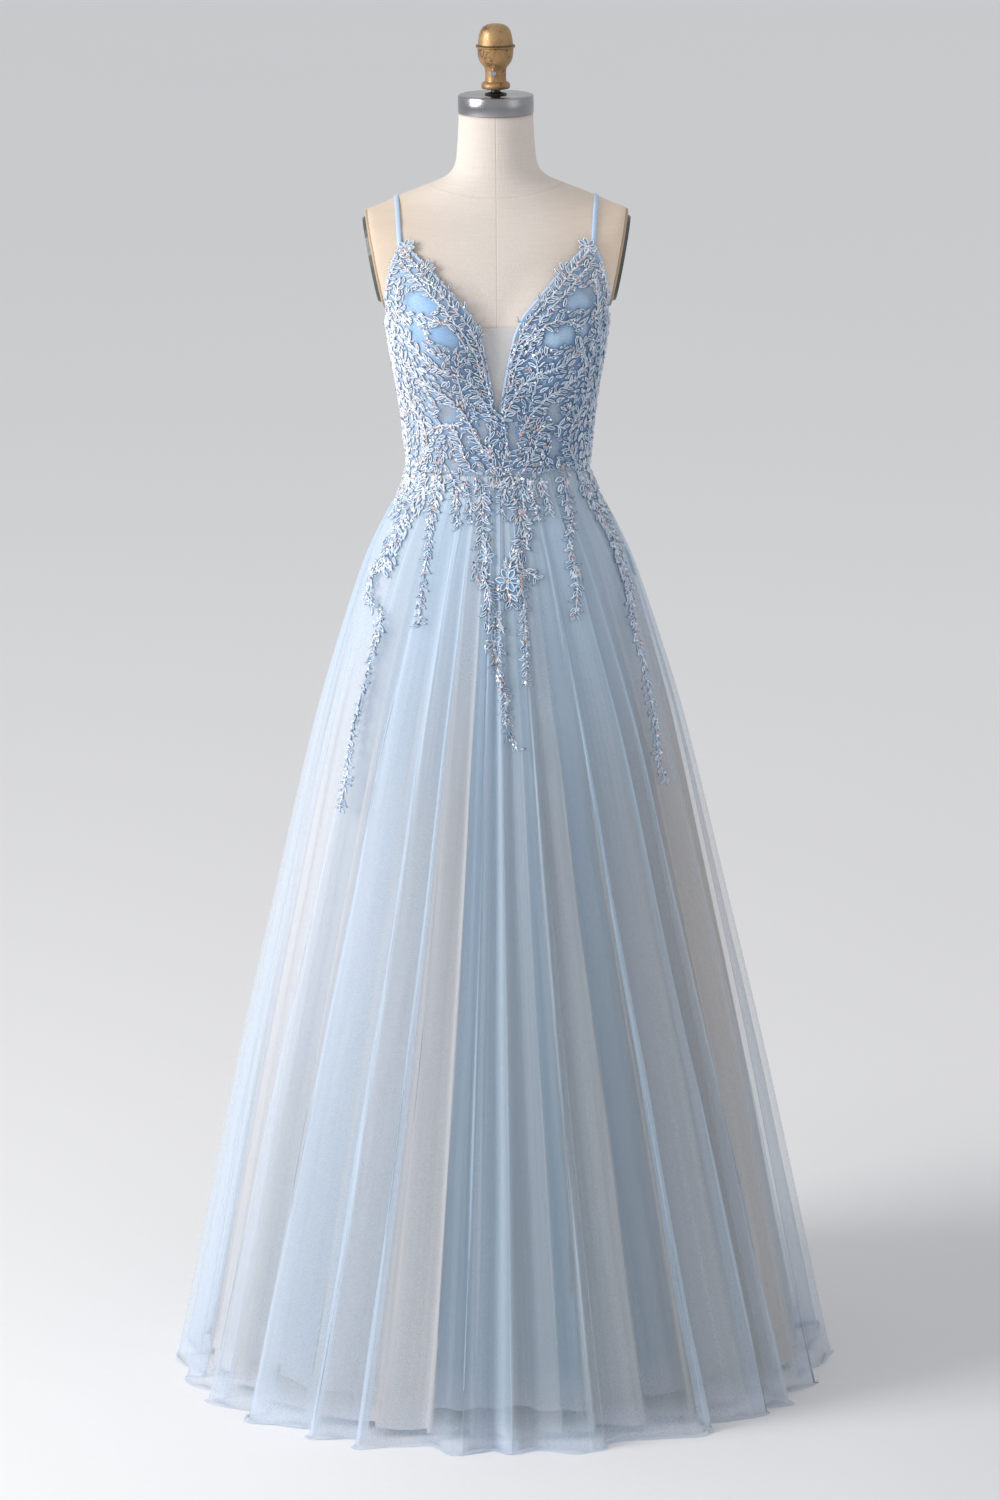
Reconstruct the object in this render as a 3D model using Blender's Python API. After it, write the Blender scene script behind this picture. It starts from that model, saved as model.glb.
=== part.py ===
"""Floor-length ball gown on a limbless dress form.

Metres, +Z up. The origin is on the floor under the form's axis and the gown's front faces -Y.
An angle on the gown or form is measured round the axis from the front (0) towards +X.
Left and right are the viewer's, seen from the front.
"""
import math
from collections import namedtuple

import bmesh
import bpy
from mathutils import Matrix, Vector

GAP = 0.0003  # left between pieces that touch

# Heights
WAIST_Z = 1.1700
NECK_TOP_Z = 1.6105
FORM_BOTTOM_Z = 0.8600
HEM_Z = 0.0008

# Dress form: horizontal sections, bottom to top
Girth = namedtuple("Girth", "z half_width front back power")
FORM_ROWS = (
    Girth(FORM_BOTTOM_Z, 0.1400, 0.0860, 0.1000, 2.10),
    Girth(0.9300, 0.1510, 0.0940, 0.1120, 2.10),
    Girth(0.9900, 0.1520, 0.0940, 0.1110, 2.10),
    Girth(1.0500, 0.1410, 0.0900, 0.1010, 2.10),
    Girth(1.0950, 0.1260, 0.0850, 0.0900, 2.10),
    Girth(1.1300, 0.1145, 0.0810, 0.0825, 2.10),
    Girth(1.1700, 0.1100, 0.0795, 0.0795, 2.10),
    Girth(1.2100, 0.1135, 0.0815, 0.0815, 2.10),
    Girth(1.2600, 0.1195, 0.0870, 0.0890, 2.20),
    Girth(1.3100, 0.1280, 0.0950, 0.0970, 2.30),
    Girth(1.3500, 0.1345, 0.1000, 0.1030, 2.35),
    Girth(1.3720, 0.1395, 0.1000, 0.1050, 2.35),
    Girth(1.4000, 0.1600, 0.0975, 0.1060, 2.30),
    Girth(1.4400, 0.1830, 0.0870, 0.1020, 2.30),
    Girth(1.4700, 0.1900, 0.0730, 0.0920, 2.20),
    Girth(1.4880, 0.1700, 0.0610, 0.0790, 1.90),
    Girth(1.5010, 0.1400, 0.0545, 0.0690, 1.70),
    Girth(1.5120, 0.1150, 0.0500, 0.0610, 1.70),
    Girth(1.5220, 0.0890, 0.0475, 0.0560, 1.80),
    Girth(1.5320, 0.0650, 0.0460, 0.0520, 2.00),
    Girth(1.5450, 0.0530, 0.0455, 0.0500, 2.00),
    Girth(1.5700, 0.0490, 0.0450, 0.0480, 2.00),
    Girth(NECK_TOP_Z, 0.0467, 0.0450, 0.0460, 2.00),
)
FORM_COLUMNS = 30
FORM_EASE = 0.0007  # the form lies this far inside the surface that the cloth is set off from

# Bust of the form: one soft rise each side of the centre front
BUST_X = 0.0850
BUST_Z = 1.3330
BUST_RISE = 0.0270
BUST_HALF_WIDTH = 0.0880
BUST_REACH_UP = 0.1150
BUST_REACH_DOWN = 0.1080

# Armhole plates lie on flat cheeks of the form that lean out towards the top
PLATE_LOW_Z = 1.3720
PLATE_LOW_X = 0.1395
PLATE_LEAN = 0.1850  # metres out for each metre up
PLATE_Z = 1.4290
PLATE_HALF_HEIGHT = 0.0570
PLATE_HALF_DEPTH = 0.0500
PLATE_THICK = 0.0070
PLATE_Y = 0.0040

# Stand and neck fittings, as turned profiles
Turn = namedtuple("Turn", "z radius")
CAP_TURNS = (
    Turn(NECK_TOP_Z + GAP, 0.0455),
    Turn(1.6120, 0.0470),
    Turn(1.6325, 0.0470),
    Turn(1.6340, 0.0455),
)
SEAT_TURNS = (
    Turn(1.6340 + GAP, 0.0140),
    Turn(1.6356, 0.0125),
    Turn(1.6370, 0.0064),
    Turn(1.6410 - GAP, 0.0060),
)
FINIAL_TURNS = (
    Turn(1.6410, 0.0180),
    Turn(1.6460, 0.0180),
    Turn(1.6500, 0.0138),
    Turn(1.6660, 0.0130),
    Turn(1.6705, 0.0172),
    Turn(1.6770, 0.0206),
    Turn(1.6890, 0.0226),
    Turn(1.6905, 0.0250),
    Turn(1.6945, 0.0250),
    Turn(1.6960, 0.0218),
    Turn(1.7030, 0.0223),
    Turn(1.7110, 0.0208),
    Turn(1.7180, 0.0165),
    Turn(1.7215, 0.0100),
)
SCREW_Z = 1.6615
SCREW_RADIUS = 0.0040
SCREW_LENGTH = 0.0045
BASE_TURNS = (
    Turn(0.0000, 0.1650),
    Turn(0.0120, 0.1650),
    Turn(0.0180, 0.1590),
    Turn(0.0240, 0.0500),
    Turn(0.0700, 0.0240),
)
POLE_RADIUS = 0.0140

# Distances of each cloth skin from the form, at the bodice and at the waist seam
Skin = namedtuple("Skin", "inner outer")
CUP_SKIN = Skin(0.0004, 0.0018)
INSERT_SKIN = Skin(0.0005, 0.0015)
ZIP_SKIN = Skin(0.0012, 0.0023)
BODICE_SKIN = Skin(0.0035, 0.0047)
LACE_THICK = 0.0012
STRAP_SKIN = Skin(0.0012, 0.0026)

# Top edge of the bodice: centre front V, strap point, armhole, side seam
Edge = namedtuple("Edge", "degrees z")
FRONT_EDGE = (
    Edge(0.0, 1.2480),
    Edge(3.0, 1.2720),
    Edge(6.0, 1.2970),
    Edge(9.0, 1.3240),
    Edge(12.0, 1.3490),
    Edge(17.0, 1.3700),
    Edge(22.0, 1.3820),
    Edge(28.0, 1.3940),
    Edge(33.0, 1.4050),
    Edge(38.0, 1.4160),
    Edge(43.0, 1.4265),
    Edge(48.0, 1.4365),
    Edge(54.0, 1.4480),
    Edge(58.5, 1.4580),
    Edge(61.0, 1.4560),
    Edge(62.5, 1.4290),
    Edge(67.0, 1.3970),
    Edge(73.0, 1.3770),
    Edge(81.0, 1.3620),
    Edge(90.0, 1.3550),
)
BACK_EDGE = (
    Edge(90.0, 1.3550),
    Edge(98.0, 1.3540),
    Edge(107.0, 1.3535),
    Edge(116.0, 1.3545),
    Edge(124.0, 1.3555),
    Edge(132.0, 1.3535),
    Edge(141.0, 1.3480),
    Edge(151.0, 1.3400),
    Edge(161.0, 1.3310),
    Edge(171.0, 1.3240),
    Edge(180.0, 1.3210),
)
STRAP_POINT = 14  # row of FRONT_EDGE at the outer side of the strap point
BODICE_LEVELS = 12
BACK_LEVELS = 6
BINDING_WIDTH = 0.0035
NECK_BINDING_START = 2  # row of FRONT_EDGE where the V is wide enough for two bindings

# Cups, inside the sheer bodice front
CUP_DEGREES = 39.5
CUP_Z = 1.3470
CUP_HALF_DEGREES = 18.0
CUP_HALF_HEIGHT = 0.0600
CUP_BELOW_EDGE = 0.0070
CUP_RINGS = 4
CUP_SPOKES = 16

# Sheer insert that closes the V
INSERT_LOW_Z = 1.2320
INSERT_TOP_Z = 1.3575
INSERT_LOW_DEGREES = 4.0
INSERT_TOP_DEGREES = 18.0
INSERT_COLUMNS = 4
INSERT_LEVELS = 5

# Straps: flat round-edged tubes over the shoulders
STRAP_FRONT = (0.1190, 1.4525)  # x and z of the lower front end, under the bodice
STRAP_TOP_X = 0.1250
STRAP_BACK = (0.0900, 1.3475)
STRAP_WIDTH = 0.0065
STRAP_PIVOT_Z = 1.4000
STRAP_STEPS = 16

ZIP_HALF_WIDTH = 0.0060
ZIP_LEVELS = 5

# Skirt: rings of the three layers, waist to hem. Widths are half-widths at the side seams, on
# the folds' crests; front and back give the depth as a share of that; a fold's depth is from
# its crest to its trough.
Ring = namedtuple("Ring", "z overlay underlay lining front back fold wall")
SKIRT_RINGS = (
    Ring(WAIST_Z - GAP, 0.0, 0.0, 0.0, 0.0, 0.0, 0.0, 0.0012),
    Ring(1.1380, 0.1252, 0.1220, 0.1190, 0.738, 0.765, 0.0009, 0.0011),
    Ring(1.0500, 0.1690, 0.1618, 0.1550, 0.765, 0.825, 0.0042, 0.0013),
    Ring(0.8400, 0.2350, 0.2190, 0.2050, 0.860, 0.920, 0.0130, 0.0018),
    Ring(0.4200, 0.3340, 0.3060, 0.2800, 0.925, 0.975, 0.0245, 0.0021),
    Ring(HEM_Z, 0.4225, 0.3830, 0.3440, 0.960, 1.000, 0.0360, 0.0023),
)
# The layers' skins at the waist seam, how many folds each has and how deep against the overlay's
Layer = namedtuple("Layer", "column skin folds depth steps hem")
OVERLAY = Layer("overlay", BODICE_SKIN, 38, 1.00, 4, 0.0)
UNDERLAY = Layer("underlay", Skin(0.0021, 0.0031), 14, 0.75, 4, 0.0100)
LINING = Layer("lining", Skin(0.0006, 0.0016), 10, 0.60, 4, 0.0220)
FOLD_DEPTHS = (1.0, 0.60, 0.85, 0.50, 0.92)  # one fold after another, round and round
FOLD_DRIFT = ((3, 0.020, 0.4), (5, 0.012, 2.1))  # waves in the folds' spacing: times, turns, phase

# Lace: a stem with leaves on each side. Lift is how far it lies out from the bodice's outside or
# the crests of the skirt's folds. A route's stations are angle in degrees and height.
Spray = namedtuple("Spray", "name leaves leaf bloom lift route")
STEM_HALF_WIDTH = 0.0016
ROOT_LIFT = 0.0004  # at the waist seam, where lace is sewn down
ROOT_REACH = 0.0300
BLOOM_SCALE = 1.6  # leaves of the open flowers, against the plain ones
LEAF_TIP = 0.72  # how far along its step of the stem a leaf's tip lies
FRONT_SPRAYS = (
    Spray("neckline", 14, 0.0130, 0.80, 0.0010,
          ((6.5, 1.238), (10.5, 1.298), (17.0, 1.354), (32.0, 1.385), (56.0, 1.438))),
    Spray("armhole", 12, 0.0125, 0.30, 0.0013,
          ((78.0, 1.180), (80.0, 1.235), (78.0, 1.302), (71.0, 1.350), (66.5, 1.386))),
    Spray("bust", 11, 0.0135, 0.45, 0.0013,
          ((56.0, 1.180), (60.0, 1.240), (57.0, 1.302), (53.0, 1.352), (54.0, 1.396))),
    Spray("midriff", 9, 0.0135, 0.45, 0.0010,
          ((30.0, 1.180), (34.0, 1.228), (33.0, 1.280), (31.0, 1.320), (33.0, 1.362))),
)
BACK_SPRAYS = (
    Spray("back_neckline", 7, 0.0125, 0.40, 0.0008,
          ((174.0, 1.302), (155.0, 1.318), (136.0, 1.334), (118.0, 1.337))),
    Spray("back_side", 8, 0.0125, 0.40, 0.0009,
          ((112.0, 1.180), (110.0, 1.225), (116.0, 1.270), (112.0, 1.312))),
    Spray("back_middle", 7, 0.0125, 0.40, 0.0006,
          ((150.0, 1.180), (153.0, 1.218), (148.0, 1.258), (152.0, 1.290))),
)
SKIRT_SPRAYS = (
    Spray("centre_left", 17, 0.0180, 0.42, 0.0010,
          ((-11.5, 1.162), (-12.0, 1.097), (-5.0, 1.012), (-2.5, 0.960), (1.5, 0.905), (6.7, 0.848))),
    Spray("centre_right", 13, 0.0170, 0.45, 0.0010,
          ((15.0, 1.162), (15.5, 1.097), (18.5, 1.050), (13.0, 1.000), (11.0, 0.931))),
    Spray("inner_left", 9, 0.0155, 0.30, 0.0008,
          ((-47.0, 1.162), (-43.0, 1.094), (-39.5, 1.037), (-37.3, 0.985))),
    Spray("inner_right", 9, 0.0150, 0.25, 0.0006,
          ((46.0, 1.162), (43.0, 1.079), (40.5, 1.040), (37.0, 0.998))),
    Spray("outer_left", 17, 0.0180, 0.38, 0.0016,
          ((-72.0, 1.162), (-69.0, 1.080), (-66.0, 1.010), (-59.0, 0.950), (-58.5, 0.875), (-55.5, 0.753))),
    Spray("outer_right", 16, 0.0180, 0.36, 0.0018,
          ((72.0, 1.162), (72.0, 1.083), (70.0, 1.010), (65.0, 0.950), (63.5, 0.875), (60.6, 0.774))),
    Spray("back_outer_left", 12, 0.0180, 0.40, 0.0018,
          ((-112.0, 1.162), (-110.0, 1.060), (-114.0, 0.960), (-119.0, 0.840))),
    Spray("back_outer_right", 12, 0.0180, 0.40, 0.0018,
          ((112.0, 1.162), (110.0, 1.060), (114.0, 0.960), (119.0, 0.840))),
    Spray("back_inner_left", 8, 0.0150, 0.35, 0.0010,
          ((-148.0, 1.160), (-149.0, 1.085), (-151.0, 1.010), (-154.0, 0.950))),
    Spray("back_inner_right", 8, 0.0150, 0.35, 0.0018,
          ((148.0, 1.160), (149.0, 1.085), (151.0, 1.010), (154.0, 0.950))),
)

SMALL_STEP = 0.0005  # for slopes worked out from two near points


def clear_scene():
    for thing in list(bpy.data.objects):
        bpy.data.objects.remove(thing)


def finish(name, color, roughness, metallic=0.0):
    material = bpy.data.materials.new(name)
    material.use_nodes = True
    shader = material.node_tree.nodes["Principled BSDF"]
    shader.inputs["Base Color"].default_value = (*color, 1.0)
    shader.inputs["Roughness"].default_value = roughness
    shader.inputs["Metallic"].default_value = metallic
    return material


def add_object(name, shape, material):
    """Turns a bmesh into a smooth-shaded object with one material."""
    mesh = bpy.data.meshes.new(name)
    shape.to_mesh(mesh)
    shape.free()
    mesh.materials.append(material)
    mesh.shade_smooth()
    mesh.set_sharp_from_angle(angle=math.radians(35.0))
    thing = bpy.data.objects.new(name, mesh)
    bpy.context.scene.collection.objects.link(thing)
    return thing


def turned(name, turns, steps, material):
    """A solid of revolution round the Z axis, closed at both ends of its profile."""
    shape = bmesh.new()
    outline = [Turn(turns[0].z, 0.0), *turns, Turn(turns[-1].z, 0.0)]
    corners = [shape.verts.new((row.radius, 0.0, row.z)) for row in outline]
    for low, high in zip(corners, corners[1:]):
        shape.edges.new((low, high))
    bmesh.ops.spin(
        shape, geom=shape.verts[:] + shape.edges[:], axis=(0.0, 0.0, 1.0), cent=(0.0, 0.0, 0.0),
        angle=math.tau, steps=steps, use_merge=True,
    )
    bmesh.ops.remove_doubles(shape, verts=shape.verts[:], dist=0.00001)
    bmesh.ops.recalc_face_normals(shape, faces=shape.faces[:])
    return add_object(name, shape, material)


def section(z):
    """The form's section at a height, on smooth curves through the rows of FORM_ROWS."""
    last = len(FORM_ROWS) - 1
    z = min(max(z, FORM_ROWS[0].z), FORM_ROWS[last].z)
    low = 0
    while low < last - 1 and FORM_ROWS[low + 1].z < z:
        low += 1
    below, above = FORM_ROWS[low], FORM_ROWS[low + 1]
    under, over = FORM_ROWS[max(low - 1, 0)], FORM_ROWS[min(low + 2, last)]
    step = above.z - below.z
    t = (z - below.z) / step
    values = []
    for column in range(1, len(below)):
        slope_below = (above[column] - under[column]) / (above.z - under.z) * step
        slope_above = (over[column] - below[column]) / (over.z - below.z) * step
        rise = above[column] - below[column]
        bend = slope_below + slope_above - 2.0 * rise
        values.append(below[column] + t * (slope_below + t * (rise - slope_below - bend + t * bend)))
    return Girth(z, *values)


def bust_rise(x, z):
    reach = BUST_REACH_UP if z > BUST_Z else BUST_REACH_DOWN
    away = min(1.0, math.hypot((abs(x) - BUST_X) / BUST_HALF_WIDTH, (z - BUST_Z) / reach))
    return 0.5 * BUST_RISE * (1.0 + math.cos(math.pi * away))


def cheek_x(z):
    """Distance from the centre of the flat cheeks that carry the armhole plates."""
    return PLATE_LOW_X + PLATE_LEAN * (z - PLATE_LOW_Z)


def form_point(angle, z):
    row = section(z)
    side, fore = math.sin(angle), math.cos(angle)
    depth = row.front if fore > 0.0 else row.back
    reach = (abs(side) / row.half_width) ** row.power + (abs(fore) / depth) ** row.power
    reach = reach ** (-1.0 / row.power)
    x, y = reach * side, -reach * fore
    if fore > 0.0:
        y -= bust_rise(x, z) * min(1.0, 4.0 * fore)
    if z >= PLATE_LOW_Z:
        x = max(-cheek_x(z), min(cheek_x(z), x))
    return Vector((x, y, z))


def on_form(angle, z, out):
    """A point at a distance out from the form, square to its surface."""
    across = form_point(angle + SMALL_STEP, z) - form_point(angle - SMALL_STEP, z)
    up = form_point(angle, z + SMALL_STEP) - form_point(angle, z - SMALL_STEP)
    return form_point(angle, z) + across.cross(up).normalized() * out


def layer_point(layer, index, angle, out, crest=1.0):
    """A point of a skirt layer on one ring. crest is 1 on a fold's crest and 0 in its trough."""
    ring = SKIRT_RINGS[index]
    if index == 0:
        return on_form(angle, ring.z, layer.skin.outer + out)
    width = getattr(ring, layer.column)
    side, fore = math.sin(angle), math.cos(angle)
    depth = width * (ring.front if fore > 0.0 else ring.back)
    reach = ((side / width) ** 2 + (fore / depth) ** 2) ** -0.5
    reach += out - (1.0 - crest) * ring.fold * layer.depth
    z = max(ring.z, HEM_Z + layer.hem)
    return Vector((reach * side, -reach * fore, z))


def on_gown(angle, z, out):
    """A point over the bodice, or over the crests of the skirt overlay's folds."""
    if z >= SKIRT_RINGS[0].z:
        return on_form(angle, z, BODICE_SKIN.outer + out)
    index = 0
    while index < len(SKIRT_RINGS) - 2 and SKIRT_RINGS[index + 1].z > z:
        index += 1
    high, low = SKIRT_RINGS[index].z, SKIRT_RINGS[index + 1].z
    upper = layer_point(OVERLAY, index, angle, out)
    lower = layer_point(OVERLAY, index + 1, angle, out)
    return upper.lerp(lower, (high - z) / (high - low))


def beside(place, station, heading, distance):
    """The station moved along the surface, to the left of its heading by a distance."""
    angle, z = station
    here = place(angle, z, 0.0)
    per_angle = (place(angle + SMALL_STEP, z, 0.0) - here) / SMALL_STEP
    per_z = (place(angle, z + SMALL_STEP, 0.0) - here) / SMALL_STEP
    normal = per_angle.cross(per_z).normalized()
    forward = per_angle * heading[0] + per_z * heading[1]
    left = normal.cross(forward).normalized() * distance
    aa, az, zz = per_angle.dot(per_angle), per_angle.dot(per_z), per_z.dot(per_z)
    la, lz = left.dot(per_angle), left.dot(per_z)
    share = aa * zz - az * az
    return (angle + (la * zz - lz * az) / share, z + (lz * aa - la * az) / share)


def wall(name, faces, place_inner, place_outer, material):
    """A closed wall of cloth. Faces are corner keys, anticlockwise from outside, and each key is
    given its inner and its outer point."""
    shape = bmesh.new()
    inner, outer, edges = {}, {}, set()
    for corners in faces:
        for key in corners:
            if key not in outer:
                inner[key] = shape.verts.new(place_inner(*key))
                outer[key] = shape.verts.new(place_outer(*key))
        shape.faces.new([outer[key] for key in corners])
        shape.faces.new([inner[key] for key in reversed(corners)])
        edges.update(zip(corners, corners[1:] + corners[:1]))
    for start, end in sorted(edges):
        if (end, start) not in edges:
            shape.faces.new((outer[end], outer[start], inner[start], inner[end]))
    return add_object(name, shape, material)


def grid(columns):
    """Faces of a sheet from its columns, left to right, each a list of keys from bottom to top."""
    faces = []
    for left, right in zip(columns, columns[1:]):
        for low in range(len(left) - 1):
            faces.append((left[low], right[low], right[low + 1], left[low + 1]))
    return faces


def panel(name, columns, skin, material, place=on_form):
    return wall(
        name, grid(columns),
        lambda angle, z: place(angle, z, skin.inner),
        lambda angle, z: place(angle, z, skin.outer), material,
    )


def levels(low, high, count):
    return [low + (high - low) * step / count for step in range(count + 1)]


def edge_angle(row, seam=0.0):
    """The row's angle, held off a seam by half the gap between pieces."""
    return math.radians(row.degrees) + seam


def add_bodice(tulle, binding):
    seam = 0.5 * GAP / FORM_ROWS[6].half_width
    right = [(edge_angle(row), row.z) for row in FRONT_EDGE[:-1]]
    right.append((edge_angle(FRONT_EDGE[-1], -seam), FRONT_EDGE[-1].z))
    left = [(-angle, z) for angle, z in reversed(right[1:])]
    columns = [[(angle, z) for z in levels(WAIST_Z, top, BODICE_LEVELS)] for angle, top in left + right]
    panel("bodice_front", columns, BODICE_SKIN, tulle)

    centre_seam = 0.5 * GAP / FORM_ROWS[6].back
    back = [(edge_angle(row), row.z) for row in BACK_EDGE]
    back[0] = (back[0][0] + seam, back[0][1])
    back[-1] = (back[-1][0] - centre_seam, back[-1][1])
    for side, turn in (("right", 1.0), ("left", -1.0)):
        edge = [(turn * angle, top) for angle, top in back][::int(turn)]
        columns = [[(angle, z) for z in levels(WAIST_Z, top, BACK_LEVELS)] for angle, top in edge]
        panel("bodice_back_" + side, columns, BODICE_SKIN, tulle)

        neck, armhole = right[NECK_BINDING_START:STRAP_POINT], right[STRAP_POINT:]
        add_edge_strip("neck_binding_" + side, neck, (), turn, binding)
        add_edge_strip("armhole_binding_" + side, armhole, (len(armhole) - 1,), turn, binding)
        add_edge_strip("back_binding_" + side, back, (0, len(back) - 1), turn, binding)


def add_edge_strip(name, edge, seam_ends, turn, material):
    """A binding that carries the bodice wall on past its top edge, cut square at a seam."""
    columns = []
    for index, station in enumerate(edge):
        before, after = edge[max(index - 1, 0)], edge[min(index + 1, len(edge) - 1)]
        rise = 0.0 if index in seam_ends else after[1] - before[1]
        heading = (after[0] - before[0], rise)
        low = beside(on_bodice, station, heading, GAP)
        high = beside(on_bodice, station, heading, GAP + BINDING_WIDTH)
        columns.append([(turn * low[0], low[1]), (turn * high[0], high[1])])
    panel(name, columns[::int(turn)], BODICE_SKIN, material)


def on_bodice(angle, z, out):
    return on_form(angle, z, BODICE_SKIN.outer + out)


def front_edge_z(degrees):
    """Height of the bodice's top edge at an angle in front."""
    for low, high in zip(FRONT_EDGE, FRONT_EDGE[1:]):
        if degrees <= high.degrees:
            share = (degrees - low.degrees) / (high.degrees - low.degrees)
            return low.z + share * (high.z - low.z)
    return FRONT_EDGE[-1].z


def add_cups(satin):
    for side, turn in (("right", 1.0), ("left", -1.0)):
        rings = []
        for ring in range(1, CUP_RINGS + 1):
            reach = ring / CUP_RINGS
            keys = []
            for spoke in range(CUP_SPOKES):
                bearing = math.tau * spoke / CUP_SPOKES
                degrees = CUP_DEGREES + reach * CUP_HALF_DEGREES * math.cos(bearing)
                z = CUP_Z + reach * CUP_HALF_HEIGHT * math.sin(bearing)
                z = min(z, front_edge_z(degrees) - CUP_BELOW_EDGE - (1.0 - reach) * CUP_BELOW_EDGE)
                keys.append((turn * math.radians(degrees), z))
            rings.append(keys[::int(turn)])
        centre = (turn * math.radians(CUP_DEGREES), CUP_Z)
        faces = [(centre, start, end) for start, end in zip(rings[0], rings[0][1:] + rings[0][:1])]
        for near, far in zip(rings, rings[1:]):
            for index in range(CUP_SPOKES):
                after = (index + 1) % CUP_SPOKES
                faces.append((near[index], far[index], far[after], near[after]))
        wall(
            "cup_" + side, faces,
            lambda angle, z: on_form(angle, z, CUP_SKIN.inner),
            lambda angle, z: on_form(angle, z, CUP_SKIN.outer), satin,
        )


def add_insert(tulle):
    columns = []
    for share in levels(-1.0, 1.0, INSERT_COLUMNS):
        column = []
        for z in levels(INSERT_LOW_Z, INSERT_TOP_Z, INSERT_LEVELS):
            rise = (z - INSERT_LOW_Z) / (INSERT_TOP_Z - INSERT_LOW_Z)
            half = INSERT_LOW_DEGREES + rise * (INSERT_TOP_DEGREES - INSERT_LOW_DEGREES)
            column.append((math.radians(share * half), z))
        columns.append(column)
    panel("neck_insert", columns, INSERT_SKIN, tulle)


def add_zip(tape):
    """A concealed zip: its tapes lie inside the centre back seam, with the pull tucked in."""
    half = ZIP_HALF_WIDTH / FORM_ROWS[6].back
    columns = []
    for angle in (math.pi - half, math.pi, math.pi + half):
        columns.append([(angle, z) for z in levels(WAIST_Z, BACK_EDGE[-1].z - 0.004, ZIP_LEVELS)])
    panel("back_zip", columns, ZIP_SKIN, tape)


def shoulder_measure(point):
    """Below 1 inside the form and above 1 outside it, near the shoulders."""
    row = section(point.z)
    depth = row.front if point.y < 0.0 else row.back
    return (abs(point.x) / row.half_width) ** row.power + (abs(point.y) / depth) ** row.power


def over_shoulder(x, tilt):
    """The form's surface point and its outward direction, seen from inside the shoulder."""
    ray = Vector((0.0, -math.cos(tilt), math.sin(tilt)))
    start = Vector((x, 0.0, STRAP_PIVOT_Z))
    near, far = 0.0, 0.2
    for _ in range(40):
        middle = 0.5 * (near + far)
        if shoulder_measure(start + ray * middle) < 1.0:
            near = middle
        else:
            far = middle
    point = start + ray * far
    slopes = []
    for axis in range(3):
        step = Vector([SMALL_STEP if axis == other else 0.0 for other in range(3)])
        slopes.append(shoulder_measure(point + step) - shoulder_measure(point - step))
    return point, Vector(slopes).normalized()


def add_straps(satin):
    front_x, front_z = STRAP_FRONT
    back_x, back_z = STRAP_BACK
    middle_out = 0.5 * (STRAP_SKIN.inner + STRAP_SKIN.outer)
    half_thick = 0.5 * (STRAP_SKIN.outer - STRAP_SKIN.inner)
    half_wide = 0.5 * STRAP_WIDTH
    outline = (  # across and out, round the strap's section
        (-half_wide, 0.0), (-0.55 * half_wide, -half_thick), (0.55 * half_wide, -half_thick),
        (half_wide, 0.0), (0.55 * half_wide, half_thick), (-0.55 * half_wide, half_thick),
    )
    front_tilt = strap_tilt(front_x, front_z, -1.0)
    back_tilt = strap_tilt(back_x, back_z, 1.0)
    for side, turn in (("right", 1.0), ("left", -1.0)):
        spine = []
        for share in levels(0.0, 1.0, STRAP_STEPS):
            tilt = front_tilt + share * (back_tilt - front_tilt)
            if share < 0.5:
                x = front_x + (STRAP_TOP_X - front_x) * math.sin(math.pi * share)
            else:
                x = back_x + (STRAP_TOP_X - back_x) * math.sin(math.pi * share)
            spine.append(over_shoulder(turn * x, tilt))
        shape = bmesh.new()
        loops = []
        for index, (point, normal) in enumerate(spine):
            forward = spine[min(index + 1, STRAP_STEPS)][0] - spine[max(index - 1, 0)][0]
            across = forward.cross(normal).normalized()
            loops.append([
                shape.verts.new(point + across * wide + normal * (middle_out + out))
                for wide, out in outline
            ])
        for near, far in zip(loops, loops[1:]):
            for index in range(len(outline)):
                after = (index + 1) % len(outline)
                shape.faces.new((near[index], near[after], far[after], far[index]))
        shape.faces.new(list(reversed(loops[0])))
        shape.faces.new(loops[-1])
        bmesh.ops.recalc_face_normals(shape, faces=shape.faces[:])
        add_object("strap_" + side, shape, satin)


def strap_tilt(x, z, facing):
    """The tilt of the ray that meets the form at a height, in front (-1) or behind (1)."""
    low, high = (math.radians(-60.0), math.radians(80.0))
    for _ in range(40):
        middle = 0.5 * (low + high)
        tilt = middle if facing < 0.0 else math.pi - middle
        if over_shoulder(x, tilt)[0].z < z:
            low = middle
        else:
            high = middle
    return low if facing < 0.0 else math.pi - low


def add_skirt_layer(name, layer, material):
    """Front and back of one layer, with folds that grow from the waist to the hem."""
    count = layer.folds * layer.steps
    seam_turn = 0.5 * GAP / SKIRT_RINGS[1].underlay / math.tau
    half = count // 2
    for side, first in (("front", -count // 4), ("back", count // 4)):
        columns = []
        for index in range(first, first + half + 1):
            turn = index / count
            if index == first:
                turn += seam_turn
            if index == first + half:
                turn -= seam_turn
            columns.append([(turn, index, ring) for ring in reversed(range(len(SKIRT_RINGS)))])
        wall(
            "skirt_{}_{}".format(name, side), grid(columns),
            lambda turn, index, ring: fold_point(layer, turn, index, ring, False),
            lambda turn, index, ring: fold_point(layer, turn, index, ring, True), material,
        )


def fold_point(layer, turn, index, ring, outside):
    """A point of a folded layer. The index counts its steps round, from a crest at 0."""
    fold = (index // layer.steps) % len(FOLD_DEPTHS)
    wave = 0.5 + 0.5 * math.cos(math.tau * index / layer.steps)
    crest = 1.0 - FOLD_DEPTHS[fold] * (1.0 - wave)
    drift = sum(turns * math.sin(times * math.tau * turn + phase) for times, turns, phase in FOLD_DRIFT)
    angle = math.tau * (turn + drift / 12.0 * math.sin(math.tau * turn) ** 2)
    thick = SKIRT_RINGS[ring].wall if ring else layer.skin.outer - layer.skin.inner
    return layer_point(layer, ring, angle, 0.0 if outside else -thick, crest)


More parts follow.
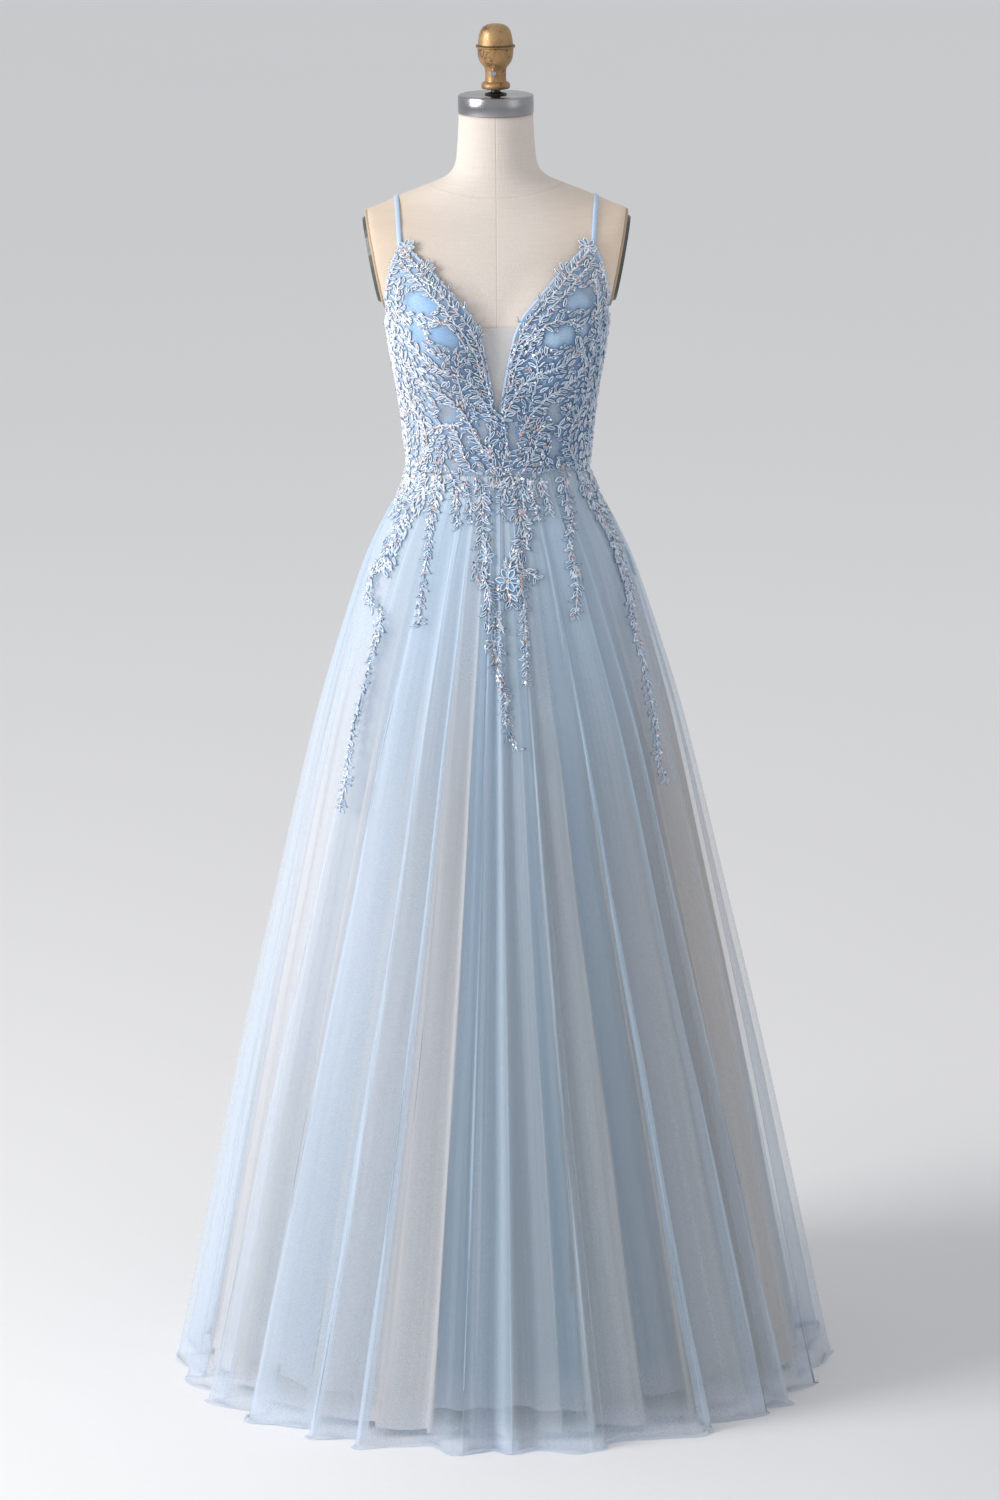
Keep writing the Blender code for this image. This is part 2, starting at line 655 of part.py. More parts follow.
def on_route(route, share):
    """A point on a smooth curve through a route's stations."""
    place = share * (len(route) - 1)
    low = min(int(place), len(route) - 2)
    t = place - low
    before, start = route[max(low - 1, 0)], route[low]
    end, after = route[low + 1], route[min(low + 2, len(route) - 1)]
    point = []
    for axis in range(2):
        slope_start = 0.5 * (end[axis] - before[axis])
        slope_end = 0.5 * (after[axis] - start[axis])
        rise = end[axis] - start[axis]
        bend = slope_start + slope_end - 2.0 * rise
        point.append(start[axis] + t * (slope_start + t * (rise - slope_start - bend + t * bend)))
    return tuple(point)


def add_spray(name, spray, turn, material):
    """Cut lace: a stem that narrows to its tip, with a leaf on one side and then the other."""
    route = [(turn * math.radians(degrees), z) for degrees, z in spray.route]
    count = spray.leaves
    stations = [on_route(route, step / count) for step in range(count + 1)]
    left, right, headings = [], [], []
    for index, station in enumerate(stations):
        before, after = stations[max(index - 1, 0)], stations[min(index + 1, count)]
        heading = (after[0] - before[0], after[1] - before[1])
        half = STEM_HALF_WIDTH * (1.0 - 0.5 * index / count)
        left.append(beside(on_gown, station, heading, half))
        right.append(beside(on_gown, station, heading, -half))
        headings.append(heading)
    faces = []
    for index in range(count):
        end = index + 1
        faces.append((right[index], right[end], left[end], left[index]))
        share = index / count
        bloom = math.exp(-((share - spray.bloom) / 0.10) ** 2)
        length = spray.leaf * (1.0 - 0.5 * share) * (1.0 + (BLOOM_SCALE - 1.0) * bloom)
        for edge, sign in ((left, 1.0), (right, -1.0)):
            if bloom < 0.5 and (sign > 0.0) != (index % 2 == 0):
                continue
            belly = beside(on_gown, stations[index], headings[index], sign * length * 0.6)
            foot = on_route(route, (index + LEAF_TIP) / count)
            tip = beside(on_gown, foot, headings[index], sign * length)
            leaf = (edge[index], edge[end], tip, belly)
            faces.append(leaf if sign > 0.0 else leaf[::-1])

    def lift(z):
        away = min(1.0, abs(z - WAIST_Z) / ROOT_REACH)
        return ROOT_LIFT + away * (spray.lift - ROOT_LIFT)

    wall(
        name, faces,
        lambda angle, z: on_gown(angle, z, lift(z)),
        lambda angle, z: on_gown(angle, z, lift(z) + LACE_THICK), material,
    )


def add_lace(cord_lace):
    for spray in FRONT_SPRAYS + BACK_SPRAYS:
        for side, turn in (("right", 1.0), ("left", -1.0)):
            add_spray("lace_{}_{}".format(spray.name, side), spray, turn, cord_lace)
    for spray in SKIRT_SPRAYS:
        add_spray("spray_" + spray.name, spray, 1.0, cord_lace)


def add_form(linen, dark, steel, black, bronze, stand_paint):
    shape = bmesh.new()
    rings = []
    heights = [row.z for row in FORM_ROWS if row.z < 1.1200]
    heights += levels(1.1300, 1.4700, 13)
    heights += [row.z for row in FORM_ROWS if row.z > 1.4750]
    for z in heights:
        rings.append([
            shape.verts.new(on_form(math.tau * column / FORM_COLUMNS, z, -FORM_EASE))
            for column in range(FORM_COLUMNS)
        ])
    for low, high in zip(rings, rings[1:]):
        for column in range(FORM_COLUMNS):
            after = (column + 1) % FORM_COLUMNS
            shape.faces.new((low[column], low[after], high[after], high[column]))
    shape.faces.new(list(reversed(rings[0])))
    shape.faces.new(rings[-1])
    bmesh.ops.recalc_face_normals(shape, faces=shape.faces[:])
    add_object("form_torso", shape, linen)

    lean = math.atan(PLATE_LEAN)
    for side, turn in (("right", 1.0), ("left", -1.0)):
        plate = bmesh.new()
        bmesh.ops.create_cone(
            plate, cap_ends=True, segments=28, radius1=1.0, radius2=0.93, depth=PLATE_THICK,
        )
        bmesh.ops.scale(plate, vec=(PLATE_HALF_HEIGHT, PLATE_HALF_DEPTH, 1.0), verts=plate.verts[:])
        bmesh.ops.translate(plate, vec=(0.0, 0.0, 0.5 * PLATE_THICK + GAP), verts=plate.verts[:])
        bmesh.ops.rotate(
            plate, matrix=Matrix.Rotation(0.5 * math.pi + lean, 3, "Y"), verts=plate.verts[:],
        )
        bmesh.ops.translate(plate, vec=(cheek_x(PLATE_Z), PLATE_Y, PLATE_Z), verts=plate.verts[:])
        if turn < 0.0:
            bmesh.ops.scale(plate, vec=(-1.0, 1.0, 1.0), verts=plate.verts[:])
        bmesh.ops.recalc_face_normals(plate, faces=plate.faces[:])
        add_object("form_armhole_plate_" + side, plate, dark)

    turned("form_neck_cap", CAP_TURNS, 28, steel)
    turned("form_finial_seat", SEAT_TURNS, 16, black)
    turned("form_finial", FINIAL_TURNS, 16, bronze)
    turned("stand_base", BASE_TURNS, 24, stand_paint)
    pole_turns = (Turn(BASE_TURNS[-1].z + GAP, POLE_RADIUS), Turn(FORM_BOTTOM_Z - GAP, POLE_RADIUS))
    turned("stand_pole", pole_turns, 16, stand_paint)

    screw = bmesh.new()
    bmesh.ops.create_cone(
        screw, cap_ends=True, segments=6, radius1=SCREW_RADIUS, radius2=SCREW_RADIUS, depth=SCREW_LENGTH,
    )
    bmesh.ops.rotate(screw, matrix=Matrix.Rotation(0.5 * math.pi, 3, "X"), verts=screw.verts[:])
    neck_radius = 0.0133
    bmesh.ops.translate(
        screw, vec=(0.0, -neck_radius - GAP - 0.5 * SCREW_LENGTH, SCREW_Z), verts=screw.verts[:],
    )
    add_object("form_finial_screw", screw, steel)


def main():
    clear_scene()
    linen = finish("linen", (0.74, 0.66, 0.56), 0.9)
    dark = finish("dark_plate", (0.10, 0.12, 0.12), 0.5)
    steel = finish("brushed_steel", (0.62, 0.63, 0.65), 0.3, 1.0)
    black = finish("black_plastic", (0.02, 0.02, 0.02), 0.4)
    bronze = finish("antique_bronze", (0.42, 0.27, 0.10), 0.35, 1.0)
    stand_paint = finish("stand_paint", (0.05, 0.05, 0.055), 0.5)
    blue_tulle = finish("blue_tulle", (0.47, 0.62, 0.77), 0.8)
    nude_tulle = finish("nude_tulle", (0.62, 0.58, 0.53), 0.8)
    blue_lining = finish("blue_lining", (0.42, 0.60, 0.78), 0.6)
    blue_satin = finish("blue_satin", (0.45, 0.66, 0.88), 0.35)
    cord_lace = finish("cord_lace", (0.36, 0.52, 0.70), 0.6)
    add_form(linen, dark, steel, black, bronze, stand_paint)
    add_bodice(blue_tulle, blue_satin)
    add_cups(blue_satin)
    add_insert(nude_tulle)
    add_zip(blue_satin)
    add_straps(blue_satin)
    add_skirt_layer("overlay", OVERLAY, blue_tulle)
    add_skirt_layer("underlay", UNDERLAY, nude_tulle)
    add_skirt_layer("lining", LINING, blue_lining)
    add_lace(cord_lace)


main()
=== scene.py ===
import math

import bmesh
import bpy
import numpy as np
from mathutils import Matrix, Quaternion, Vector
from mathutils.bvhtree import BVHTree


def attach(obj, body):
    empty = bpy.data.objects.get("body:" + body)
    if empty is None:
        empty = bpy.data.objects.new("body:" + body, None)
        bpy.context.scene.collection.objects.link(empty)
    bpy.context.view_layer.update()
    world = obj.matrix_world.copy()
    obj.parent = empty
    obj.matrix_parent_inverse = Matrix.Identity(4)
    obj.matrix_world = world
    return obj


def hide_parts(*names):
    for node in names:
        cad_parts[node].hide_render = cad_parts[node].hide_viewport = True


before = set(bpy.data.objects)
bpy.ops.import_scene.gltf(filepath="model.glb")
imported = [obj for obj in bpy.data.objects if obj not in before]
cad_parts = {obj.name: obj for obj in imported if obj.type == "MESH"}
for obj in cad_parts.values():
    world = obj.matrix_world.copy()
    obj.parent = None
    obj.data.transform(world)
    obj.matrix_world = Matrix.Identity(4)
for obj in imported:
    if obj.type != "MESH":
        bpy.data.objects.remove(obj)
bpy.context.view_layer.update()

# Studio: a camera well back and above the form, looking down a little, a broad soft lamp high on
# the left, a weak one on the right, light from the room all round, and a wide pale floor.
CAMERA_PLACE = Vector((0.0, -8.0, 2.66))
CAMERA_AIM = Vector((0.0, 0.0, 0.80))
CAMERA_ROLL = math.radians(-0.37)
CAMERA_LENS = 155.5
LAMPS = (  # name, place, side in metres, watts, colour
    ("window_lamp", (-3.9, -1.6, 2.6), 2.0, 175.0, (1.0, 0.99, 0.97)),
    ("fill_lamp", (4.6, -3.2, 2.4), 3.0, 16.0, (0.97, 0.98, 1.0)),
)
ROOM_LIGHT, ROOM_TINT = 0.62, (0.975, 0.98, 1.0, 1.0)
FLOOR_HALF = 40.0
SHEER_LAYERS = 24  # how many layers of net a line of sight may go through

camera_data = bpy.data.cameras.new("camera")
camera_data.lens = CAMERA_LENS
camera = bpy.data.objects.new("camera", camera_data)
camera.location = CAMERA_PLACE
camera.rotation_mode = "QUATERNION"
camera.rotation_quaternion = (
    (CAMERA_AIM - CAMERA_PLACE).to_track_quat("-Z", "Y") @ Quaternion((0.0, 0.0, 1.0), CAMERA_ROLL)
)
bpy.context.collection.objects.link(camera)
bpy.context.scene.camera = camera
bpy.context.scene.view_settings.view_transform = "Standard"
bpy.context.scene.cycles.transparent_max_bounces = SHEER_LAYERS

for name, place, side, watts, color in LAMPS:
    lamp_data = bpy.data.lights.new(name, "AREA")
    lamp_data.size = side
    lamp_data.energy = watts
    lamp_data.color = color
    lamp = bpy.data.objects.new(name, lamp_data)
    lamp.location = place
    lamp.rotation_mode = "QUATERNION"
    lamp.rotation_quaternion = (CAMERA_AIM - Vector(place)).to_track_quat("-Z", "Y")
    lamp.visible_camera = False
    bpy.context.collection.objects.link(lamp)

room = bpy.data.worlds.new("room")
room.use_nodes = True
room_shine = room.node_tree.nodes["Background"]
room_shine.inputs["Color"].default_value = ROOM_TINT
room_shine.inputs["Strength"].default_value = ROOM_LIGHT
bpy.context.scene.world = room


def paint(red, green, blue):
    """A colour as a dyer's chart gives it, from 0 to 255, as the shaders want it."""
    share = np.array((red, green, blue)) / 255.0
    linear = np.where(share <= 0.04045, share / 12.92, ((share + 0.055) / 1.055) ** 2.4)
    return (*(float(x) for x in linear), 1.0)


class Wire:
    """One socket of a material. Sums on it add Math nodes."""

    def __init__(self, finish, socket):
        self.finish = finish
        self.socket = socket

    def math(self, operation, *values):
        return self.finish.node("Math", {"operation": operation}, dict(enumerate(values)))

    def __add__(self, other):
        return self.math("ADD", self, other)

    def __sub__(self, other):
        return self.math("SUBTRACT", self, other)

    def __rsub__(self, other):
        return self.math("SUBTRACT", other, self)

    def __mul__(self, other):
        return self.math("MULTIPLY", self, other)

    def __pow__(self, other):
        return self.math("POWER", self, other)

    __radd__ = __add__
    __rmul__ = __mul__

    def size(self):
        return self.math("ABSOLUTE", self)

    def larger(self, other):
        return self.math("MAXIMUM", self, other)

    def step(self, low, high):
        """0 below low, 1 above high, and a soft rise between them; or a fall where high is below low."""
        inputs = {"Value": self, "From Min": low, "From Max": high}
        return self.finish.node("MapRange", {"interpolation_type": "SMOOTHSTEP"}, inputs)


class Finish:
    """A material under the brush. Its constants are set on the shader, and feed() wires what varies.
    Colours are given as a dyer's chart gives them."""

    def __init__(self, name, color, roughness, **constants):
        self.material = bpy.data.materials.new(name)
        self.material.use_nodes = True
        self.tree = self.material.node_tree
        self.shader = self.tree.nodes["Principled BSDF"]
        self.shader.inputs["Base Color"].default_value = paint(*color)
        self.shader.inputs["Roughness"].default_value = roughness
        for words, value in constants.items():
            self.shader.inputs[words.replace("_", " ")].default_value = value

    def node(self, kind, settings=None, inputs=None, output=0):
        made = self.tree.nodes.new("ShaderNode" + kind)
        for name, value in (settings or {}).items():
            setattr(made, name, value)
        for name, value in (inputs or {}).items():
            if isinstance(value, Wire):
                self.tree.links.new(value.socket, made.inputs[name])
            else:
                made.inputs[name].default_value = value
        return Wire(self, made.outputs[output])

    def feed(self, name, wire):
        self.tree.links.new(wire.socket, self.shader.inputs[name])
        return self

    def place(self, stretch=(1.0, 1.0, 1.0), source="Object"):
        """The piece's own coordinates in metres, stretched along each axis."""
        spot = self.node("TexCoord", output=source)
        return self.node("Mapping", {"vector_type": "TEXTURE"}, {"Vector": spot, "Scale": stretch})

    def axis(self, name, source="Object"):
        return self.node("SeparateXYZ", inputs={0: self.node("TexCoord", output=source)}, output=name)

    def noise(self, scale, detail=2.0, stretch=(1.0, 1.0, 1.0), source="Object"):
        inputs = {"Vector": self.place(stretch, source), "Scale": scale, "Detail": detail}
        return self.node("TexNoise", inputs=inputs)

    def mark(self, name):
        """A number that the mesh carries at each of its points."""
        return self.node("Attribute", {"attribute_name": name}, output="Fac")

    def net_lines(self, per_metre):
        """How far each spot is from the threads of a net with so many holes to the metre."""
        return self.node("TexVoronoi", {"feature": "DISTANCE_TO_EDGE"}, {
            "Vector": self.place(source="UV"), "Scale": per_metre,
        })

    def blend(self, share, first, second):
        first, second = (tone if isinstance(tone, Wire) else paint(*tone) for tone in (first, second))
        return self.node("Mix", {"data_type": "RGBA"}, {0: share, 6: first, 7: second}, output=2)

    def dye(self, tone, *coats):
        """Feeds a tone to Base Color, with coats over it: each is its share and its colour."""
        for share, color in coats:
            tone = self.blend(share, tone, color)
        return self.feed("Base Color", tone)

    def relief(self, height, depth):
        """Height from 0 to 1 as relief of a depth in metres."""
        bump = self.node("Bump", inputs={"Height": height, "Distance": depth, "Strength": 1.0})
        return self.feed("Normal", bump)


floor_finish = Finish("pale_floor", (243, 243, 244), 0.55)
floor_x, floor_y = floor_finish.axis("X"), floor_finish.axis("Y")
floor_finish.dye(
    floor_finish.blend(floor_y.step(0.5, 5.0), (239, 239, 240), (251, 251, 252)),
    (floor_finish.noise(0.7, 3.0) * 0.3, (244, 244, 245)),
    # Painted shade: the floor darker to the right of the form and in front of it, where its shadow falls
    (floor_x.step(0.08, 0.80) * floor_y.step(1.4, 0.3), (226, 226, 229)),
)
floor_finish.relief(floor_finish.noise(55.0, 3.0), 0.0004)
floor_shape = bmesh.new()
bmesh.ops.create_grid(floor_shape, x_segments=1, y_segments=1, size=FLOOR_HALF)
floor_mesh = bpy.data.meshes.new("floor")
floor_shape.to_mesh(floor_mesh)
floor_shape.free()
floor_mesh.materials.append(floor_finish.material)
floor = bpy.data.objects.new("floor", floor_mesh)
bpy.context.collection.objects.link(floor)

# Dress form: a moulded torso with no limbs, covered in beige linen that is seamed down the
# centre and round the neck, with a rolled linen cord sewn round each armhole.
FORM_ROWS = np.array((  # z, half width, front, back, power of the section's curve
    (0.860, 0.1400, 0.0860, 0.1000, 2.10),
    (0.930, 0.1510, 0.0940, 0.1120, 2.10),
    (0.990, 0.1520, 0.0940, 0.1110, 2.10),
    (1.050, 0.1410, 0.0900, 0.1010, 2.10),
    (1.095, 0.1260, 0.0850, 0.0900, 2.10),
    (1.130, 0.1145, 0.0810, 0.0825, 2.10),
    (1.170, 0.1100, 0.0795, 0.0795, 2.10),
    (1.210, 0.1135, 0.0815, 0.0815, 2.10),
    (1.260, 0.1195, 0.0870, 0.0890, 2.20),
    (1.310, 0.1280, 0.0950, 0.0970, 2.30),
    (1.350, 0.1345, 0.1000, 0.1030, 2.35),
    (1.372, 0.1395, 0.1000, 0.1050, 2.35),
    (1.400, 0.1600, 0.0975, 0.1060, 2.30),
    (1.440, 0.1830, 0.0870, 0.1020, 2.30),
    (1.470, 0.1900, 0.0730, 0.0920, 2.20),
    (1.488, 0.1700, 0.0610, 0.0790, 1.90),
    (1.501, 0.1400, 0.0545, 0.0690, 1.70),
    (1.512, 0.1150, 0.0500, 0.0610, 1.70),
    (1.522, 0.0890, 0.0475, 0.0560, 1.80),
    (1.532, 0.0650, 0.0460, 0.0520, 2.00),
    (1.545, 0.0530, 0.0455, 0.0500, 2.00),
    (1.570, 0.0490, 0.0450, 0.0480, 2.00),
    (1.6105, 0.0467, 0.0450, 0.0460, 2.00),
))
BUST_X, BUST_Z, BUST_RISE, BUST_HALF_WIDTH = 0.0850, 1.3330, 0.0270, 0.0880
BUST_REACH_UP, BUST_REACH_DOWN = 0.1150, 0.1080
CHEEK_Z, CHEEK_X, CHEEK_LEAN = 1.3720, 0.1395, 0.1850  # flat cheeks under the armhole plates
PLATE_Y, PLATE_Z, PLATE_HALF_DEPTH, PLATE_HALF_HEIGHT = 0.0040, 1.4290, 0.0500, 0.0570
PIPING_RADIUS, PIPING_PAST_PLATE, PIPING_OUT = 0.0026, 0.0016, 0.0004
NECK_SEAM_Z, NECK_SEAM_RISE = 1.5110, 1.9
SMALL_STEP = 0.0005  # for slopes, in radians and in metres
SAME_SPOT = 0.00002  # points nearer than this are welded


def smooth_rows(rows, z):
    """The values of a table at each height, on smooth curves through its rows."""
    last = len(rows) - 1
    z = np.clip(z, rows[0, 0], rows[last, 0])
    low = np.clip(np.searchsorted(rows[:, 0], z, side="right") - 1, 0, last - 1)
    under, below = rows[np.maximum(low - 1, 0)], rows[low]
    above, over = rows[low + 1], rows[np.minimum(low + 2, last)]
    step = (above - below)[:, :1]
    share = (z[:, None] - below[:, :1]) / step
    slope_below = (above - under) / (above - under)[:, :1] * step
    slope_above = (over - below) / (over - below)[:, :1] * step
    rise = above - below
    bend = slope_below + slope_above - 2.0 * rise
    return (below + share * (slope_below + share * (rise - slope_below - bend + share * bend))).T


def form_point(angle, z):
    """Points of the form. The angle is 0 in front and grows towards the wearer's left."""
    _, half_width, front, back, power = smooth_rows(FORM_ROWS, z)
    side, fore = np.sin(angle), np.cos(angle)
    depth = np.where(fore > 0.0, front, back)
    reach = ((np.abs(side) / half_width) ** power + (np.abs(fore) / depth) ** power) ** (-1.0 / power)
    x, y = reach * side, -reach * fore
    fall = np.where(z > BUST_Z, BUST_REACH_UP, BUST_REACH_DOWN)
    away = np.minimum(1.0, np.hypot((np.abs(x) - BUST_X) / BUST_HALF_WIDTH, (z - BUST_Z) / fall))
    bust = 0.5 * BUST_RISE * (1.0 + np.cos(math.pi * away))
    y = y - bust * np.clip(4.0 * fore, 0.0, 1.0)
    cheek = np.where(z >= CHEEK_Z, CHEEK_X + CHEEK_LEAN * (z - CHEEK_Z), 1.0)
    return np.stack((np.clip(x, -cheek, cheek), y, z), axis=-1)


def on_form(angle, z, out):
    """Points at a distance out from the form, square to its surface."""
    spread = np.broadcast_arrays(np.asarray(angle, float), np.asarray(z, float), np.asarray(out, float))
    angle, z, out = (values.ravel() for values in spread)
    across = form_point(angle + SMALL_STEP, z) - form_point(angle - SMALL_STEP, z)
    up = form_point(angle, z + SMALL_STEP) - form_point(angle, z - SMALL_STEP)
    normal = np.cross(across, up)
    normal /= np.linalg.norm(normal, axis=-1, keepdims=True)
    return (form_point(angle, z) + normal * out[:, None]).reshape(*spread[0].shape, 3)


def laid_out(across, down, place, flat=(1.0, 1.0)):
    """A grid laid out in space. place(u, v) gives its points, and may give marks to carry besides;
    u and v run from 0 to 1, v upwards, and flat is the size in metres of the cloth's own map."""
    shape = bmesh.new()
    bmesh.ops.create_grid(shape, x_segments=across, y_segments=down, size=1.0)
    flat_spots = 0.5 + 0.5 * np.array([vert.co[:2] for vert in shape.verts])
    points = place(flat_spots[:, 0], flat_spots[:, 1])
    marks = {}
    if isinstance(points, tuple):
        points, marks = points
    cloth_map = shape.loops.layers.uv.new("map")
    spots = flat_spots * flat
    for face in shape.faces:
        for loop in face.loops:
            loop[cloth_map].uv = spots[loop.vert.index]
    for name, values in marks.items():
        layer = shape.verts.layers.float.new(name)
        for vert in shape.verts:
            vert[layer] = values[vert.index]
    for vert in shape.verts:
        vert.co = points[vert.index]
    bmesh.ops.remove_doubles(shape, verts=shape.verts[:], dist=SAME_SPOT)
    return shape


def placed(name, mesh, finish, stands_for):
    """A finished piece: its mesh, its finish, its body and the CAD nodes that it stands for."""
    mesh.shade_smooth()
    mesh.materials.append(finish.material)
    piece = bpy.data.objects.new(name, mesh)
    bpy.context.collection.objects.link(piece)
    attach(piece, "root")
    if stands_for:
        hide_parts(*stands_for)
    return piece


def made(name, shape, finish, slot, *stands_for):
    mesh = bpy.data.meshes.new(name)
    shape.to_mesh(mesh)
    shape.free()
    return placed(name, mesh, finish, stands_for)


linen = Finish("form_linen", (226, 213, 200), 0.82, Sheen_Weight=0.25, Sheen_Roughness=0.5)
linen_x, linen_z = linen.axis("X"), linen.axis("Z")
linen_warp = linen.noise(900.0, 2.0, (1.0, 1.0, 26.0))
linen_weft = linen.noise(900.0, 2.0, (26.0, 26.0, 1.0))
linen_slub = linen_warp * 0.5 + linen_weft * 0.5
linen_seam = (linen_x + linen.noise(30.0) * 0.0006 - 0.0003).size().step(0.0013, 0.0002)
linen_neck = (linen_z - NECK_SEAM_Z - linen_x * linen_x * NECK_SEAM_RISE).size().step(0.0012, 0.0003)
linen_lines = linen_seam.larger(linen_neck)
linen_cool = linen.blend(linen.noise(7.0, 3.0), (216, 207, 200), (226, 217, 209))
# Warmer linen at the shoulders, with painted light: lighter on the right shoulder, which is turned from
# the window, darker on the left, which faces it
linen_warm_painted_light = linen.blend(linen_x.step(0.05, 0.17), (212, 194, 174), (240, 220, 200))
linen.dye(
    linen.blend(linen_x.size().step(0.035, 0.165), linen_cool, linen_warm_painted_light),
    (linen_slub.step(0.35, 0.62) * 0.16, (192, 172, 150)), (linen_lines * 0.10, (158, 138, 118)),
)
linen.relief(linen_slub - linen_lines * 0.35, 0.0006)

TORSO_HEIGHTS = np.concatenate([np.linspace(*run) for run in (  # from, to, and how many rows
    (0.8600, 1.3650, 64), (1.3720, 1.4600, 26), (1.4625, 1.5450, 40), (1.5500, 1.6105, 14),
)])
TORSO_IN = 0.0007  # how far the linen lies inside the form's surface, clear of the cloth over it


def capped(shape):
    """Closes the open ends of a shape."""
    ends = [edge for edge in shape.edges if edge.is_boundary]
    if ends:
        bmesh.ops.holes_fill(shape, edges=ends, sides=0)


def torso_place(u, v):
    z = np.interp(v, np.linspace(0.0, 1.0, len(TORSO_HEIGHTS)), TORSO_HEIGHTS)
    return on_form(math.tau * u, z, -TORSO_IN)


torso_shape = laid_out(144, len(TORSO_HEIGHTS) - 1, torso_place)
capped(torso_shape)
torso_tree = BVHTree.FromBMesh(torso_shape)
made("torso_linen", torso_shape, linen, "linen", "form_torso")


def rope(path, wide, thick, normals, sides=8, closed=False):
    """A flattened cord along a path of points; normals say which way its thickness lies."""
    path = np.asarray(path, float)
    if closed:
        ahead, behind = np.roll(path, -1, axis=0), np.roll(path, 1, axis=0)
    else:
        ahead, behind = np.vstack((path[1:], path[-1:])), np.vstack((path[:1], path[:-1]))
    forward = ahead - behind
    forward /= np.linalg.norm(forward, axis=1, keepdims=True)
    across = np.cross(forward, normals)
    across /= np.linalg.norm(across, axis=1, keepdims=True)
    out = np.cross(across, forward)
    steps = len(path) if closed else len(path) - 1

    def place(u, v):
        index = np.rint(v * steps).astype(int) % len(path)
        turn = math.tau * u
        return (
            path[index]
            + across[index] * (0.5 * wide * np.cos(turn))[:, None]
            + out[index] * (0.5 * thick * np.sin(turn))[:, None]
        )

    length = float(np.linalg.norm(np.diff(path, axis=0), axis=1).sum())
    shape = laid_out(sides, steps, place, (math.pi * wide, length))
    capped(shape)
    bmesh.ops.recalc_face_normals(shape, faces=shape.faces[:])
    return shape


piping_finish = Finish("linen_piping", (214, 190, 162), 0.85)
piping_twist = piping_finish.node(
    "TexWave", {"bands_direction": "DIAGONAL"},
    {"Vector": piping_finish.place(source="UV"), "Scale": 260.0, "Distortion": 1.0},
)
piping_finish.dye(piping_finish.blend(piping_twist, (176, 150, 122), (226, 205, 180)))
piping_finish.relief(piping_twist, 0.0006)
for name, turn in (("left", -1.0), ("right", 1.0)):
    bearing = np.linspace(0.0, math.tau, 72, endpoint=False)
    ring_y = PLATE_Y + (PLATE_HALF_DEPTH + PIPING_PAST_PLATE) * np.cos(bearing)
    ring_z = PLATE_Z + (PLATE_HALF_HEIGHT + PIPING_PAST_PLATE) * np.sin(bearing)
    ring_x = CHEEK_X + CHEEK_LEAN * (ring_z - CHEEK_Z) + PIPING_OUT
    ring = np.stack((turn * ring_x, ring_y, ring_z), axis=-1)
    outward = np.tile((turn, 0.0, -CHEEK_LEAN), (len(ring), 1))
    piping = rope(ring, 2.0 * PIPING_RADIUS, 2.0 * PIPING_RADIUS, outward, sides=10, closed=True)
    made("armhole_piping_" + name, piping, piping_finish, "linen")

# Neck fittings and stand: a turned steel cap, a black stem, a cast finial in antique gold with
# a set screw, hammered plates at the armholes, and a pole in a round base.
CAP_PROFILE = (
    (0.0000, 1.6336), (0.0360, 1.6339), (0.0440, 1.6339), (0.0462, 1.6333), (0.0470, 1.6318),
    (0.0471, 1.6220), (0.0470, 1.6125), (0.0465, 1.6111), (0.0440, 1.6108),
)
STEM_PROFILE = (
    (0.0140, 1.6344), (0.0134, 1.6353), (0.0080, 1.6364), (0.0062, 1.6372), (0.0058, 1.6390),
    (0.0058, 1.6406),
)
FINIAL_PROFILE = (
    (0.0000, 1.7212), (0.0060, 1.7213), (0.0115, 1.7200), (0.0158, 1.7172), (0.0186, 1.7130),
    (0.0202, 1.7080), (0.0212, 1.7020), (0.0218, 1.6965), (0.0222, 1.6955), (0.0240, 1.6950),
    (0.0247, 1.6935), (0.0240, 1.6920), (0.0225, 1.6914), (0.0222, 1.6860), (0.0215, 1.6800),
    (0.0196, 1.6745), (0.0164, 1.6702), (0.0138, 1.6670), (0.0131, 1.6630), (0.0130, 1.6540),
    (0.0135, 1.6502), (0.0160, 1.6490), (0.0176, 1.6472), (0.0180, 1.6445), (0.0176, 1.6420),
    (0.0166, 1.6412), (0.0000, 1.6411),
)
BASE_PROFILE = (
    (0.0150, 0.0690), (0.0200, 0.0690), (0.0240, 0.0640), (0.0280, 0.0420), (0.0400, 0.0280),
    (0.0700, 0.0215), (0.1500, 0.0180), (0.1600, 0.0165), (0.1645, 0.0120), (0.1650, 0.0040),
    (0.1640, 0.0000),
)
POLE_PROFILE = ((0.0139, 0.8597), (0.0139, 0.0703))
FINIAL_BEAD_Z = 1.6950
SCREW_PLACE, SCREW_RADIUS, SCREW_LENGTH, SCREW_BEVEL = (-0.0030, -0.0152, 1.6615), 0.0040, 0.0046, 0.0004
SOCKET_RIM, SOCKET_DEPTH = 0.0013, 0.0014


def turned(profile, steps=96):
    """A lathe-turned shape: its profile of radius and height, spun about the axis."""
    shape = bmesh.new()
    points = [shape.verts.new((radius, 0.0, z)) for radius, z in profile]
    edges = [shape.edges.new(pair) for pair in zip(points, points[1:])]
    bmesh.ops.spin(
        shape, geom=points + edges, cent=(0.0, 0.0, 0.0), axis=(0.0, 0.0, 1.0), angle=math.tau,
        steps=steps, use_merge=True,
    )
    bmesh.ops.remove_doubles(shape, verts=shape.verts[:], dist=SAME_SPOT)
    capped(shape)
    bmesh.ops.recalc_face_normals(shape, faces=shape.faces[:])
    return shape


def creased(piece, degrees=32.0):
    """Smooth where the profile flows, sharp where it turns a corner."""
    piece.data.set_sharp_from_angle(angle=math.radians(degrees))


